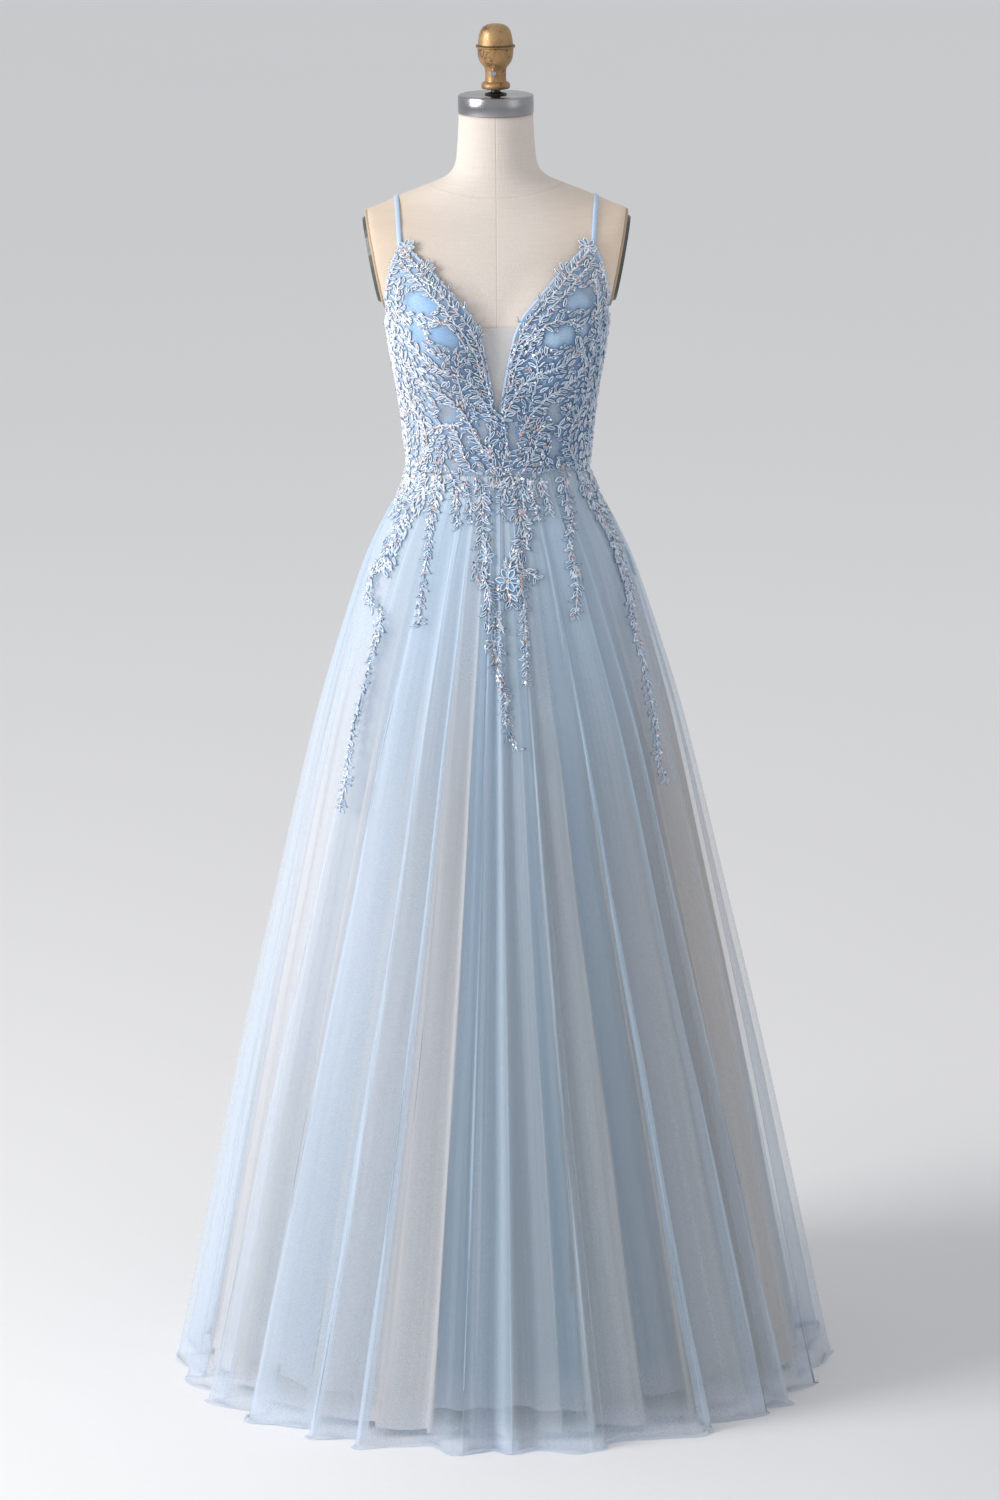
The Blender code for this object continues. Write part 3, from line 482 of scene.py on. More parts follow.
steel = Finish("brushed_steel", (160, 160, 163), 0.20, Metallic=1.0, Anisotropic=0.6)
steel_grain = steel.noise(260.0, 3.0, (1.0, 1.0, 0.012))
steel.feed("Roughness", steel_grain * 0.20 + 0.08).relief(steel_grain, 0.00005)
creased(made("neck_cap", turned(CAP_PROFILE), steel, "brushed_steel", "form_neck_cap"))

black_plastic = Finish("black_plastic", (28, 28, 29), 0.35)
black_plastic.feed("Roughness", black_plastic.noise(900.0) * 0.3 + 0.25)
creased(made("finial_stem", turned(STEM_PROFILE), black_plastic, "black_plastic", "form_finial_seat"))

gilt = Finish("antique_gold", (176, 132, 76), 0.42, Metallic=0.55, Coat_Weight=0.2, Coat_Roughness=0.3)
gilt_wear = gilt.noise(90.0, 5.0) * 0.6 + gilt.noise(420.0, 3.0) * 0.4
gilt_ring = (gilt.axis("Z") - FINIAL_BEAD_Z).size().step(0.0016, 0.0004)
gilt_low = gilt.axis("Z").step(1.7200, 1.6920)
gilt_cast = gilt.blend(gilt_wear.step(0.40, 0.66), (122, 82, 44), (174, 134, 84))
gilt.dye(
    gilt.blend(gilt_low * 0.35 + 0.2, (184, 152, 108), gilt_cast),
    (gilt_wear.step(0.46, 0.38) * 0.7, (78, 50, 28)), (gilt_ring * 0.8, (62, 44, 34)),
)
gilt.feed("Roughness", gilt_wear.step(0.35, 0.65) * 0.3 + 0.28).relief(gilt_wear, 0.0007)
creased(made("finial_gilt", turned(FINIAL_PROFILE), gilt, "antique_bronze", "form_finial"), 50.0)

screw_finish = Finish("screw_zinc", (205, 207, 210), 0.25, Metallic=1.0)
screw_finish.feed("Roughness", screw_finish.noise(1500.0) * 0.25 + 0.12)
screw_shape = bmesh.new()
bmesh.ops.create_cone(
    screw_shape, cap_ends=True, segments=6, radius1=SCREW_RADIUS, radius2=SCREW_RADIUS,
    depth=SCREW_LENGTH,
)
bmesh.ops.bevel(
    screw_shape, geom=screw_shape.edges[:], affect="EDGES", offset=SCREW_BEVEL, segments=2,
    profile=0.5, material=-1,
)
screw_top = max(screw_shape.faces, key=lambda face: face.calc_center_median().z)
bmesh.ops.inset_region(screw_shape, faces=[screw_top], thickness=SOCKET_RIM, depth=0.0)
bmesh.ops.translate(screw_shape, verts=screw_top.verts[:], vec=(0.0, 0.0, -SOCKET_DEPTH))
forward_turn = Matrix.Rotation(math.radians(90.0), 3, "X")
bmesh.ops.rotate(screw_shape, verts=screw_shape.verts[:], matrix=forward_turn)
bmesh.ops.translate(screw_shape, verts=screw_shape.verts[:], vec=SCREW_PLACE)
creased(made("finial_screw", screw_shape, screw_finish, "brushed_steel", "form_finial_screw"))

hammered = Finish("hammered_grey", (86, 88, 86), 0.42, Metallic=0.35)
hammer_marks = hammered.noise(300.0, 3.0)
hammered.dye(hammered.blend(hammer_marks, (70, 72, 70), (104, 106, 103))).relief(hammer_marks, 0.0005)
for name in ("form_armhole_plate_left", "form_armhole_plate_right"):
    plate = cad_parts[name]
    plate.data.materials.clear()
    plate.data.materials.append(hammered.material)

stand_paint = Finish("stand_enamel", (40, 40, 42), 0.38, Coat_Weight=0.3)
stand_paint.feed("Roughness", stand_paint.noise(60.0, 3.0) * 0.25 + 0.28)
creased(made("pole_tube", turned(POLE_PROFILE, 48), stand_paint, "stand_paint", "stand_pole"))
creased(made("base_plate", turned(BASE_PROFILE), stand_paint, "stand_paint", "stand_base"))

# Skirt: three layers gathered into one waist seam. A blue lining, a nude underlay and a sky-blue
# overlay, the two last of soft tulle, each cut as flared panels and hung in its own folds.
WAIST_Z, HEM_Z = 1.1697, 0.0010
SKIRT_RINGS = np.array((  # z, half widths of overlay, underlay and lining, front, back, depth of fold
    (0.0000, 0.4225, 0.3830, 0.3440, 0.960, 1.000, 0.0360),
    (0.2000, 0.3810, 0.3470, 0.3140, 0.944, 0.990, 0.0310),
    (0.4200, 0.3340, 0.3060, 0.2800, 0.925, 0.975, 0.0245),
    (0.6300, 0.2850, 0.2630, 0.2430, 0.895, 0.950, 0.0185),
    (0.8400, 0.2350, 0.2190, 0.2050, 0.860, 0.920, 0.0130),
    (0.9600, 0.1993, 0.1876, 0.1780, 0.808, 0.878, 0.0080),
    (1.0500, 0.1690, 0.1618, 0.1550, 0.765, 0.825, 0.0044),
    (1.1000, 0.1460, 0.1416, 0.1370, 0.748, 0.790, 0.0028),
    (1.1380, 0.1252, 0.1226, 0.1200, 0.738, 0.765, 0.0018),
    (1.1697, 0.1140, 0.1127, 0.1114, 0.730, 0.730, 0.0012),
))
OVERLAY, UNDERLAY, LINING = 1, 2, 3
CREST_GATHER = math.radians(9.5)  # per metre of height, how far the folds draw in to the middle
GATHERS_FROM_Z = 0.93  # where the waist's gathers start
PUDDLE = 0.035  # the share of a panel's length that spreads on the floor
CREST_WIDTH, UNEVEN_DEPTH = 0.0015, 0.0011
FLARE_OUT, FLARE_SWING, CURL_RISE = 0.011, 0.009, 0.010  # of the overlay's foot
# Crests of the folds round each layer: degrees at the hem, how far out, how deep behind, density
OVERLAY_CRESTS = (
    (-176.0, 0.90, 0.80, 0.26), (-163.0, 1.00, 0.90, 0.40), (-149.0, 0.85, 0.75, 0.26),
    (-138.0, 1.00, 1.00, 0.36), (-124.0, 0.92, 0.80, 0.24), (-113.0, 1.00, 0.95, 0.28),
    (-101.0, 0.95, 0.85, 0.18), (-89.0, 1.00, 0.80, 0.16), (-75.5, 0.94, 0.85, 0.15),
    (-63.0, 1.00, 0.95, 0.22), (-50.5, 0.98, 0.90, 0.42), (-36.0, 0.90, 0.80, 0.34),
    (-26.5, 1.00, 1.00, 0.18), (-7.5, 1.00, 0.90, 0.40), (1.5, 0.75, 0.60, 0.20),
    (16.0, 1.00, 1.00, 0.22), (38.0, 1.00, 0.95, 0.40), (53.0, 0.96, 0.70, 0.28),
    (59.0, 1.00, 0.95, 0.24), (71.0, 0.95, 0.85, 0.15), (89.0, 1.00, 0.85, 0.16),
    (102.0, 0.92, 0.90, 0.28), (116.0, 1.00, 1.00, 0.24), (128.0, 0.88, 0.75, 0.34),
    (141.0, 1.00, 0.95, 0.40), (155.0, 0.92, 0.85, 0.26), (169.0, 1.00, 0.90, 0.36),
)
UNDERLAY_CRESTS = (
    (-170.0, 0.95, 0.8, 0.80), (-152.0, 1.00, 0.9, 0.40), (-143.0, 0.90, 0.8, 0.75),
    (-121.0, 1.00, 0.9, 0.35), (-110.0, 0.92, 0.8, 0.80), (-92.0, 1.00, 0.9, 0.62),
    (-80.0, 0.95, 0.8, 0.74), (-68.0, 1.00, 0.9, 0.55), (-57.0, 0.92, 0.8, 0.40),
    (-42.0, 1.00, 0.9, 0.72), (-25.0, 0.95, 0.7, 0.90), (-14.5, 1.00, 0.9, 0.16),
    (-6.0, 0.90, 0.6, 0.48), (1.5, 1.00, 0.8, 0.52), (11.5, 0.95, 0.6, 0.30),
    (17.0, 1.00, 0.9, 0.74), (29.0, 0.95, 0.8, 0.36), (39.5, 1.00, 0.9, 0.78),
    (54.0, 0.92, 0.8, 0.56), (66.0, 1.00, 0.9, 0.84), (81.0, 0.95, 0.8, 0.60),
    (93.0, 1.00, 0.9, 0.72), (112.0, 0.92, 0.8, 0.38), (124.0, 1.00, 0.9, 0.82),
    (146.0, 0.90, 0.8, 0.42), (157.0, 1.00, 0.9, 0.76), (175.0, 0.95, 0.8, 0.50),
)
LINING_CRESTS = tuple(
    (-172.0 + 24.0 * step + 5.0 * math.sin(2.3 * step), 1.0, 0.8, 1.0) for step in range(15)
)


def wander(values, seed, slowest, fastest, waves):
    """A smooth, uneven line between -1 and 1, the same for the same seed."""
    dice = np.random.default_rng(seed)
    total = np.zeros_like(values)
    for _ in range(waves):
        total += np.sin(values * dice.uniform(slowest, fastest) + dice.uniform(0.0, math.tau))
    return total / waves


def oval_reach(side, fore, half_width, ring):
    """How far a layer's crests are from the axis, on the ovals of the skirt's rings."""
    depth = half_width * np.where(fore > 0.0, ring[4], ring[5])
    return ((side / half_width) ** 2 + (fore / depth) ** 2) ** -0.5


def skirt_place(layer, crests, first, last, lean, share, tucks, sag):
    """Lays out a panel from one crest to another. lean is how far each fold lies over to the side,
    share its depth against the overlay's, tucks the gathers' depth, sag how high the hem is."""
    degrees, peak, dip, density = np.array(crests).T
    count = len(crests)

    def crest_of(index):
        return degrees[index % count] + 360.0 * np.floor_divide(index, count)

    def place(u, v):
        # Height, with rows set closer towards the waist
        rise = np.clip((v - PUDDLE) / (1.0 - PUDDLE), 0.0, 1.0)
        rise = 0.62 * rise + 0.38 * (1.0 - (1.0 - rise) ** 1.7)
        z = HEM_Z + sag + (WAIST_Z - HEM_Z - sag) * rise
        ring = smooth_rows(SKIRT_RINGS, z)
        puddle = np.clip(1.0 - v / PUDDLE, 0.0, 1.0)

        # Angle round the axis, between the crests on either side, each fold leaning outwards
        w = first + u * (last - first)
        near = np.minimum(np.floor(w), last - 1).astype(int)
        p = 0.5 - 0.5 * np.cos(math.pi * (w - near))
        start, end = crest_of(near), crest_of(near + 1)
        width = end - start
        before, after = start - crest_of(near - 1), crest_of(near + 2) - end
        full = np.interp(z, (0.84, 1.08, WAIST_Z), (1.0, 0.62, 0.18))
        lean_start = lean * full * np.minimum(width, before) * np.tanh(4.0 * np.sin(np.radians(start)))
        lean_end = lean * full * np.minimum(width, after) * np.tanh(4.0 * np.sin(np.radians(end)))
        crest_wave = np.cos(math.pi * p) ** 2
        angle = (start - lean_start) * (1.0 - p) + (end - lean_end) * p
        angle = np.radians(angle + np.where(p < 0.5, lean_start, lean_end) * crest_wave)
        angle = angle - CREST_GATHER * z * np.sin(2.0 * angle)
        angle = angle + 0.006 * wander(z * 9.0 + near * 2.1, 5 + layer, 0.6, 1.6, 3) * (1.0 - rise)
        side, fore = np.sin(angle), np.cos(angle)
        round_way = angle * 10.0

        # How far inside the crests' oval: the fold, fine unevenness, gathers, and a flared foot
        soft = p * p * (3.0 - 2.0 * p)
        high = peak[near % count] * (1.0 - soft) + peak[(near + 1) % count] * soft
        out = high - dip[near % count] * (1.0 - crest_wave ** 0.85) * high
        pleat = np.clip((z - GATHERS_FROM_Z) / (WAIST_Z - GATHERS_FROM_Z), 0.0, 1.0)
        fine = wander(round_way, 40 + layer, 9.0, 24.0, 5) * UNEVEN_DEPTH
        gather = tucks * pleat ** 1.5 * (0.5 + 0.5 * wander(round_way, 60 + layer, 22.0, 46.0, 4))
        sink = ring[6] * share * (1.0 - out) + fine * (1.0 - pleat) + gather
        lift = sag * 0.25 * wander(round_way, 95 + layer, 1.0, 4.0, 3) * (1.0 - rise) ** 8
        if layer == OVERLAY:
            flare = FLARE_OUT + FLARE_SWING * wander(round_way, 80 + layer, 1.5, 5.0, 3)
            sink = sink - flare * puddle * (1.0 - 0.6 * side ** 2)
            curl = np.clip(wander(round_way, 90 + layer, 2.0, 9.0, 4), 0.0, 1.0)
            lift = lift + CURL_RISE * curl * np.sin(math.pi * puddle)
        reach = oval_reach(side, fore, ring[layer], ring) - sink
        points = np.stack((reach * side, -reach * fore, z + lift), axis=-1)

        # The line along each crest, fainter on the flanks: the tulle closes up there and takes a painted
        # sheen
        from_crest = np.minimum(p, 1.0 - p) * np.radians(width) * ring[layer]
        strong = np.where(p < 0.5, peak[near % count] * dip[near % count], peak[(near + 1) % count])
        flank = np.clip((np.abs(side) - 0.78) / 0.2, 0.0, 1.0)
        line = np.exp(-((from_crest / CREST_WIDTH) ** 2)) * strong * (1.0 - 0.8 * flank)
        return points, {"crest": line, "threads": density[near % count]}

    return place


def tulle_finish(name, thick, pale, deep, edge, hem, lit, high, dim):
    """Soft net: mostly holes, closer where it is seen along the cloth and on a fold's edge. Its tones are
    the pale and the deep of its streaks, a painted sheen on the crests' edge, painted light from the
    floor at the hem, painted light on the side towards the window, the gathers, and painted shade on
    the far side."""
    net = Finish(name, pale, 0.88, Sheen_Weight=0.25, Sheen_Roughness=0.5, Specular_IOR_Level=0.15)
    across, height = net.axis("X"), net.axis("Z")
    streak = net.noise(1.0, 3.0, (0.006, 0.9, 1.0), "UV")
    cloud = net.noise(1.0, 2.0, (0.05, 0.6, 1.0), "UV")
    crest, density = net.mark("crest"), net.mark("threads")
    low_down, waist_up = height.step(0.060, 0.0), height.step(0.20, 0.70)
    gathered = height.step(0.70, 1.12)
    net.dye(
        net.blend(streak * 0.6 + cloud * 0.4, deep, pale),
        # Painted light from the floor at the hem, over the shade inside the skirt
        (low_down * 0.7, hem),
        # Painted light on the side towards the window, and painted shade on the far side
        (across.step(0.06, -0.17) * (waist_up * 0.18 + 0.56), lit),
        (across.step(0.06, 0.30) * (waist_up * 0.35 + 0.40), dim),
        (gathered * 0.7, high),
        # Painted sheen along the crests
        (crest * 0.42, edge),
    )
    grazing = net.node("LayerWeight", inputs={"Blend": 0.5}, output="Facing")
    close = density * thick + (streak - 0.5) * 0.14 + 0.02 + low_down * 0.26 + gathered * 0.20
    close = close + (grazing ** 3.0) * (1.0 - close) * 0.40
    close = close + crest * (0.75 - close) * 0.55
    close = close * (net.net_lines(620.0).step(0.30, 0.06) * 0.24 + 0.88)
    return net.feed("Alpha", close.math("MINIMUM", close, 1.0))


taffeta = Finish("lining_taffeta", (128, 160, 190), 0.62, Sheen_Weight=0.2)
taffeta_x, taffeta_z = taffeta.axis("X"), taffeta.axis("Z")
taffeta.dye(
    taffeta.blend(taffeta.noise(1.0, 3.0, (0.01, 0.8, 1.0), "UV"), (112, 144, 168), (148, 176, 198)),
    # Painted light on the side towards the window
    (taffeta_x.step(0.05, -0.18) * (taffeta_z.step(0.15, 0.70) * 0.45 + 0.35), (206, 224, 240)),
    # Lighter blue towards the waist, and a paler hem: painted light from the floor over the shade inside
    # the skirt
    (taffeta_z.step(0.20, 1.05) * 0.85, (182, 212, 240)), (taffeta_z.step(0.09, 0.03), (196, 206, 224)),
)
taffeta.relief(taffeta.noise(1400.0, 1.0), 0.00015)
nude_tulle = tulle_finish(
    "nude_tulle", 0.92, (206, 204, 202), (180, 178, 176), (220, 208, 196), (208, 204, 208),
    (228, 226, 228), (212, 218, 228), (206, 194, 184),
)
sky_tulle = tulle_finish(
    "sky_tulle", 0.95, (190, 213, 232), (156, 188, 216), (200, 222, 242), (204, 216, 236),
    (216, 224, 237), (196, 221, 244), (206, 205, 207),
)
overlay_trees = []
for name, layer, crests, bounds, steps, rows, lean, share, tucks, sag, finish, slot in (
    ("lining", LINING, LINING_CRESTS, (3, 11, 18), 12, 48, 0.10, 0.60, 0.0004, 0.028, taffeta,
     "blue_lining"),
    ("underlay", UNDERLAY, UNDERLAY_CRESTS, (5, 21, 32), 16, 56, 0.42, 0.75, 0.0010, 0.010, nude_tulle,
     "nude_tulle"),
    ("overlay", OVERLAY, OVERLAY_CRESTS, (7, 20, 34), 22, 88, 0.46, 1.00, 0.0022, 0.0, sky_tulle,
     "blue_tulle"),
):
    for panel, first, last, hem_width in (("front", *bounds[:2], 1.75), ("back", *bounds[1:], 1.85)):
        lay = skirt_place(layer, crests, first, last, lean, share, tucks, sag)
        shape = laid_out((last - first) * steps, rows, lay, (hem_width, 1.20))
        if layer == OVERLAY:
            overlay_trees.append(BVHTree.FromBMesh(shape))
        part = "{}_{}".format(name, panel)
        made(part, shape, finish, slot, "skirt_" + part)

# Bodice: one front and two backs of soft net over moulded satin cups, with a plunging neck that
# is filled by a nude mesh insert, narrow bindings, rouleau straps and a concealed zip.
FRONT_EDGE = np.array((  # degrees from the centre front, height of the top edge
    (0.0, 1.2480), (3.0, 1.2720), (6.0, 1.2970), (9.0, 1.3240), (12.0, 1.3490), (17.0, 1.3700),
    (22.0, 1.3820), (28.0, 1.3940), (33.0, 1.4050), (38.0, 1.4160), (43.0, 1.4265), (48.0, 1.4365),
    (54.0, 1.4480), (58.5, 1.4580), (61.0, 1.4560), (62.5, 1.4290), (67.0, 1.3970), (73.0, 1.3770),
    (81.0, 1.3620), (90.0, 1.3550),
))
BACK_EDGE = np.array((
    (90.0, 1.3550), (98.0, 1.3540), (107.0, 1.3535), (116.0, 1.3545), (124.0, 1.3555), (132.0, 1.3535),
    (141.0, 1.3480), (151.0, 1.3400), (161.0, 1.3310), (171.0, 1.3240), (180.0, 1.3210),
))
SEAM_Z, SEAM_RIDGE, SEAM_RIDGE_WIDTH = 1.1702, 0.0011, 0.0022
NET_OUT, CUP_OUT, INSERT_OUT, STRAP_OUT, ZIP_OUT = 0.0041, 0.0026, 0.0011, 0.0020, 0.0019
CUP_DEGREES, CUP_HALF_DEGREES, CUP_Z, CUP_HALF_HEIGHT = 40.0, 23.0, 1.3470, 0.0640
CUP_BELOW_EDGE, CUP_THICK, CUP_RIM_IN, CUP_FILL = 0.0060, 0.0012, 0.0012, 0.8
INSERT_LOW, INSERT_TOP = (4.0, 1.2320), (18.0, 1.3575)
BINDING_WIDTH, BINDING_THICK = 0.0034, 0.0014
STRAP_FRONT, STRAP_BACK, STRAP_TOP_X, STRAP_WIDTH = (0.1190, 1.4525), (0.0900, 1.3475), 0.1250, 0.0062
STRAP_PIVOT_Z, STRAP_THICK = 1.4000, 0.0026
ZIP_HALF_WIDTH, ZIP_BELOW_EDGE, ZIP_CROWN, BACK_DEPTH = 0.0060, 0.0040, 0.0004, 0.0815
SIDES = (("right", 1.0), ("left", -1.0))  # as seen from in front
NET_GAPS = (  # degrees, height, half width in degrees and half height of the places left bare
    (-50.5, 1.3900, 5.2, 0.0115), (-44.5, 1.3855, 4.6, 0.0095), (-38.5, 1.3520, 4.6, 0.0100),
    (-32.5, 1.3465, 4.8, 0.0085), (-52.5, 1.3545, 2.6, 0.0085), (-50.0, 1.3470, 2.4, 0.0060),
    (53.5, 1.3915, 4.6, 0.0115), (48.0, 1.3880, 3.8, 0.0090), (44.0, 1.3510, 4.8, 0.0095),
    (37.0, 1.3460, 5.0, 0.0090), (55.5, 1.3545, 2.4, 0.0070), (-40.0, 1.2520, 4.0, 0.0100),
    (-43.0, 1.2440, 3.0, 0.0080), (43.5, 1.2520, 3.6, 0.0110), (46.0, 1.2400, 3.0, 0.0080),
    (11.5, 1.2240, 2.8, 0.0180), (14.5, 1.2120, 2.4, 0.0090), (-13.0, 1.2260, 3.0, 0.0160),
    (46.0, 1.2020, 3.2, 0.0110), (-39.0, 1.1830, 6.0, 0.0050), (-27.0, 1.2130, 2.6, 0.0080),
    (140.0, 1.2300, 4.0, 0.0110), (-139.0, 1.2350, 4.0, 0.0110), (118.0, 1.2560, 4.0, 0.0100),
    (-120.0, 1.2520, 4.0, 0.0100), (162.0, 1.2500, 3.0, 0.0140), (-163.0, 1.2450, 3.0, 0.0140),
)


def bareness(degrees, z):
    """How deep spots lie in the places that the lace leaves bare: near 1 well inside, below 0 outside."""
    gaps = np.array(NET_GAPS)
    away = np.hypot(
        (degrees[..., None] - gaps[:, 0]) / gaps[:, 2], (z[..., None] - gaps[:, 1]) / gaps[:, 3],
    )
    return 1.0 - away.min(axis=-1)


def along_edge(edge, spots):
    """Degrees and heights at spots along an edge, counted in its stations."""
    return (np.interp(spots, np.arange(len(edge)), column) for column in edge.T)


def net_place(edge):
    """Lays net from the waist seam up to an edge, with a soft ridge where the seam is turned in,
    and marks where lace is worked over it, where the finish closes the net and darkens it as painted
    shade."""
    def place(u, v):
        degrees, top = along_edge(edge, u * (len(edge) - 1))
        z = SEAM_Z + v * (top - SEAM_Z)
        ridge = SEAM_RIDGE * np.exp(-(((z - SEAM_Z) / SEAM_RIDGE_WIDTH) ** 2))
        worked = np.clip(0.5 - 3.0 * bareness(degrees, z), 0.0, 1.0)
        worked = worked * np.clip((top - z - 0.004) / 0.005, 0.0, 1.0)
        worked = worked * np.clip((z - SEAM_Z - 0.002) / 0.004, 0.0, 1.0)
        return on_form(np.radians(degrees), z, NET_OUT + ridge), {"worked": worked}

    return place


bodice_net = Finish("bodice_net", (160, 180, 206), 0.85, Sheen_Weight=0.3, Specular_IOR_Level=0.25)
net_cloud = bodice_net.noise(26.0, 2.0)
net_worked_and_shaded = bodice_net.mark("worked")
net_lit = bodice_net.axis("X").step(0.0, -0.11).larger(bodice_net.axis("Z").step(1.350, 1.415) * 0.75)
# Painted shade: the net's ground is darker where lace is worked over it, between the raised cords
net_ground = bodice_net.blend(net_cloud, (100, 134, 174), (142, 172, 206))
net_ground = bodice_net.blend(net_lit, net_ground, (172, 198, 226))
net_bare = bodice_net.blend(net_cloud, (160, 192, 226), (190, 210, 236))
bodice_net.dye(net_bare, (net_worked_and_shaded, net_ground))
bodice_net.feed("Alpha", bodice_net.net_lines(700.0).step(0.32, 0.08) * 0.18 + 0.32 + net_worked_and_shaded * 0.38)
whole_front = np.vstack((FRONT_EDGE[:0:-1] * (-1.0, 1.0), FRONT_EDGE))
made(
    "net_front", laid_out(4 * (len(whole_front) - 1), 44, net_place(whole_front), (0.47, 0.29)),
    bodice_net, "blue_tulle", "bodice_front",
)
for name, edge in (("right", BACK_EDGE), ("left", BACK_EDGE[::-1] * (-1.0, 1.0))):
    made(
        "net_back_" + name, laid_out(4 * (len(edge) - 1), 32, net_place(edge), (0.19, 0.18)),
        bodice_net, "blue_tulle", "bodice_back_" + name,
    )

cup_satin = Finish("cup_satin", (130, 196, 246), 0.40, Sheen_Weight=0.2, Specular_IOR_Level=0.6)
satin_pull = cup_satin.noise(34.0, 2.0, (1.0, 1.0, 2.6))
cup_satin.dye(
    cup_satin.blend(satin_pull, (132, 198, 246), (174, 223, 254)),
    # Painted light on the right cup, which is turned away from the window
    (cup_satin.axis("X").step(0.0, 0.06), (212, 240, 255)),
)
cup_satin.feed("Roughness", satin_pull * 0.2 + 0.28).relief(satin_pull, 0.0016)
for name, turn in SIDES:
    def cup_place(u, v, turn=turn):
        bearing = math.tau * u
        degrees = CUP_DEGREES + v * CUP_HALF_DEGREES * np.cos(bearing)
        z = CUP_Z + v * CUP_HALF_HEIGHT * np.sin(bearing)
        top = np.interp(degrees, FRONT_EDGE[:, 0], FRONT_EDGE[:, 1])
        z = np.minimum(z, top - CUP_BELOW_EDGE * (2.0 - v))
        return on_form(turn * np.radians(degrees), z, CUP_OUT - CUP_RIM_IN * v ** 6)

    cup_shape = laid_out(64, 14, cup_place)
    bmesh.ops.recalc_face_normals(cup_shape, faces=cup_shape.faces[:])
    cup_face = max(cup_shape.faces, key=lambda face: face.calc_center_median().z)
    inwards = CUP_THICK if cup_face.normal.y < 0.0 else -CUP_THICK
    bmesh.ops.solidify(cup_shape, geom=cup_shape.faces[:], thickness=inwards)
    cup = made("satin_cup_" + name, cup_shape, cup_satin, "blue_satin", "cup_" + name)


def insert_place(u, v):
    z = INSERT_LOW[1] + v * (INSERT_TOP[1] - INSERT_LOW[1])
    half = INSERT_LOW[0] + v * (INSERT_TOP[0] - INSERT_LOW[0])
    return on_form(np.radians((2.0 * u - 1.0) * half), z, INSERT_OUT)


insert_net = Finish("insert_net", (208, 208, 209), 0.8, Sheen_Weight=0.2, Specular_IOR_Level=0.3)
insert_net.feed("Alpha", insert_net.net_lines(800.0).step(0.30, 0.08) * 0.14 + 0.74)
insert_shape = laid_out(16, 40, insert_place, (0.075, 0.126))
made("insert_mesh", insert_shape, insert_net, "nude_tulle", "neck_insert")


def eased(rows, times):
    """Rows smoothed along their length, with both ends held."""
    for _ in range(times):
        rows[1:-1] = 0.25 * rows[:-2] + 0.5 * rows[1:-1] + 0.25 * rows[2:]
    return rows


def edged(name, edge, turn, stands_for):
    """A folded binding sewn over a top edge."""
    spots = np.linspace(0.0, len(edge) - 1.0, 8 * len(edge))
    degrees, heights = (eased(row, 3) for row in along_edge(edge, spots))
    angles = turn * np.radians(degrees)
    line = on_form(angles, heights, NET_OUT)
    normals = on_form(angles, heights, NET_OUT + 0.001) - line
    ahead = np.gradient(line, axis=0)
    above = np.cross(normals, ahead) * -turn
    above /= np.linalg.norm(above, axis=1, keepdims=True)
    shape = rope(line + above * 0.5 * BINDING_WIDTH, BINDING_WIDTH, BINDING_THICK, normals, 8)
    made(name, shape, band_satin, "blue_satin", stands_for)


band_satin = Finish("band_satin", (146, 190, 236), 0.48, Sheen_Weight=0.25)
band_satin.dye(band_satin.blend(band_satin.noise(120.0, 2.0), (170, 197, 228), (194, 214, 240)))
band_satin.relief(band_satin.noise(900.0, 2.0), 0.0002)
for name, turn in SIDES:
    for part, edge in (("neck", FRONT_EDGE[1:14]), ("armhole", FRONT_EDGE[14:]), ("back", BACK_EDGE)):
        edged("{}_edge_{}".format(part, name), edge, turn, "{}_binding_{}".format(part, name))


def strap_path(turn):
    """A path over the shoulder, where rays from inside the form meet its surface."""
    tilts = []
    for (x, z), way in ((STRAP_FRONT, -1.0), (STRAP_BACK, 1.0)):
        choices = np.radians(np.linspace(-35.0, 60.0, 400))
        gap = []
        for choice in choices:
            ray = Vector((0.0, way * math.cos(choice), math.sin(choice)))
            spot = torso_tree.ray_cast(Vector((turn * x, 0.0, STRAP_PIVOT_Z)), ray)[0]
            gap.append(abs(spot.z - z))
        best = choices[int(np.argmin(gap))]
        tilts.append(best if way < 0.0 else math.pi - best)
    path, normals = [], []
    for share in np.linspace(0.0, 1.0, 56):
        near = STRAP_FRONT[0] if share < 0.5 else STRAP_BACK[0]
        x = near + (STRAP_TOP_X - near) * math.sin(math.pi * share)
        tilt = tilts[0] + share * (tilts[1] - tilts[0])
        ray = Vector((0.0, -math.cos(tilt), math.sin(tilt)))
        spot, normal, _, _ = torso_tree.ray_cast(Vector((turn * x, 0.0, STRAP_PIVOT_Z)), ray)
        normal = normal if normal.dot(ray) > 0.0 else -normal
        path.append(spot)
        normals.append(normal)
    path, normals = eased(np.array(path), 6), eased(np.array(normals), 6)
    return path + normals * STRAP_OUT, normals


for name, turn in SIDES:
    path, normals = strap_path(turn)
    tube = rope(path, STRAP_WIDTH, STRAP_THICK, normals, 10)
    made("strap_tube_" + name, tube, band_satin, "blue_satin", "strap_" + name)


def zip_place(u, v):
    z = SEAM_Z + v * (BACK_EDGE[-1, 1] - ZIP_BELOW_EDGE - SEAM_Z)
    across = 2.0 * u - 1.0
    angle = math.pi + across * ZIP_HALF_WIDTH / BACK_DEPTH
    return on_form(angle, z, ZIP_OUT + ZIP_CROWN * (1.0 - across ** 4))


zip_tape = Finish("zip_tape", (132, 168, 208), 0.6)
zip_coil = zip_tape.node("TexWave", {"bands_direction": "Y"}, {
    "Vector": zip_tape.place(source="UV"), "Scale": 300.0,
})
zip_tape.dye(zip_tape.blend(zip_coil, (118, 154, 196), (146, 182, 220))).relief(zip_coil, 0.0003)
made("zip_tapes", laid_out(8, 60, zip_place, (0.012, 0.147)), zip_tape, "blue_satin", "back_zip")

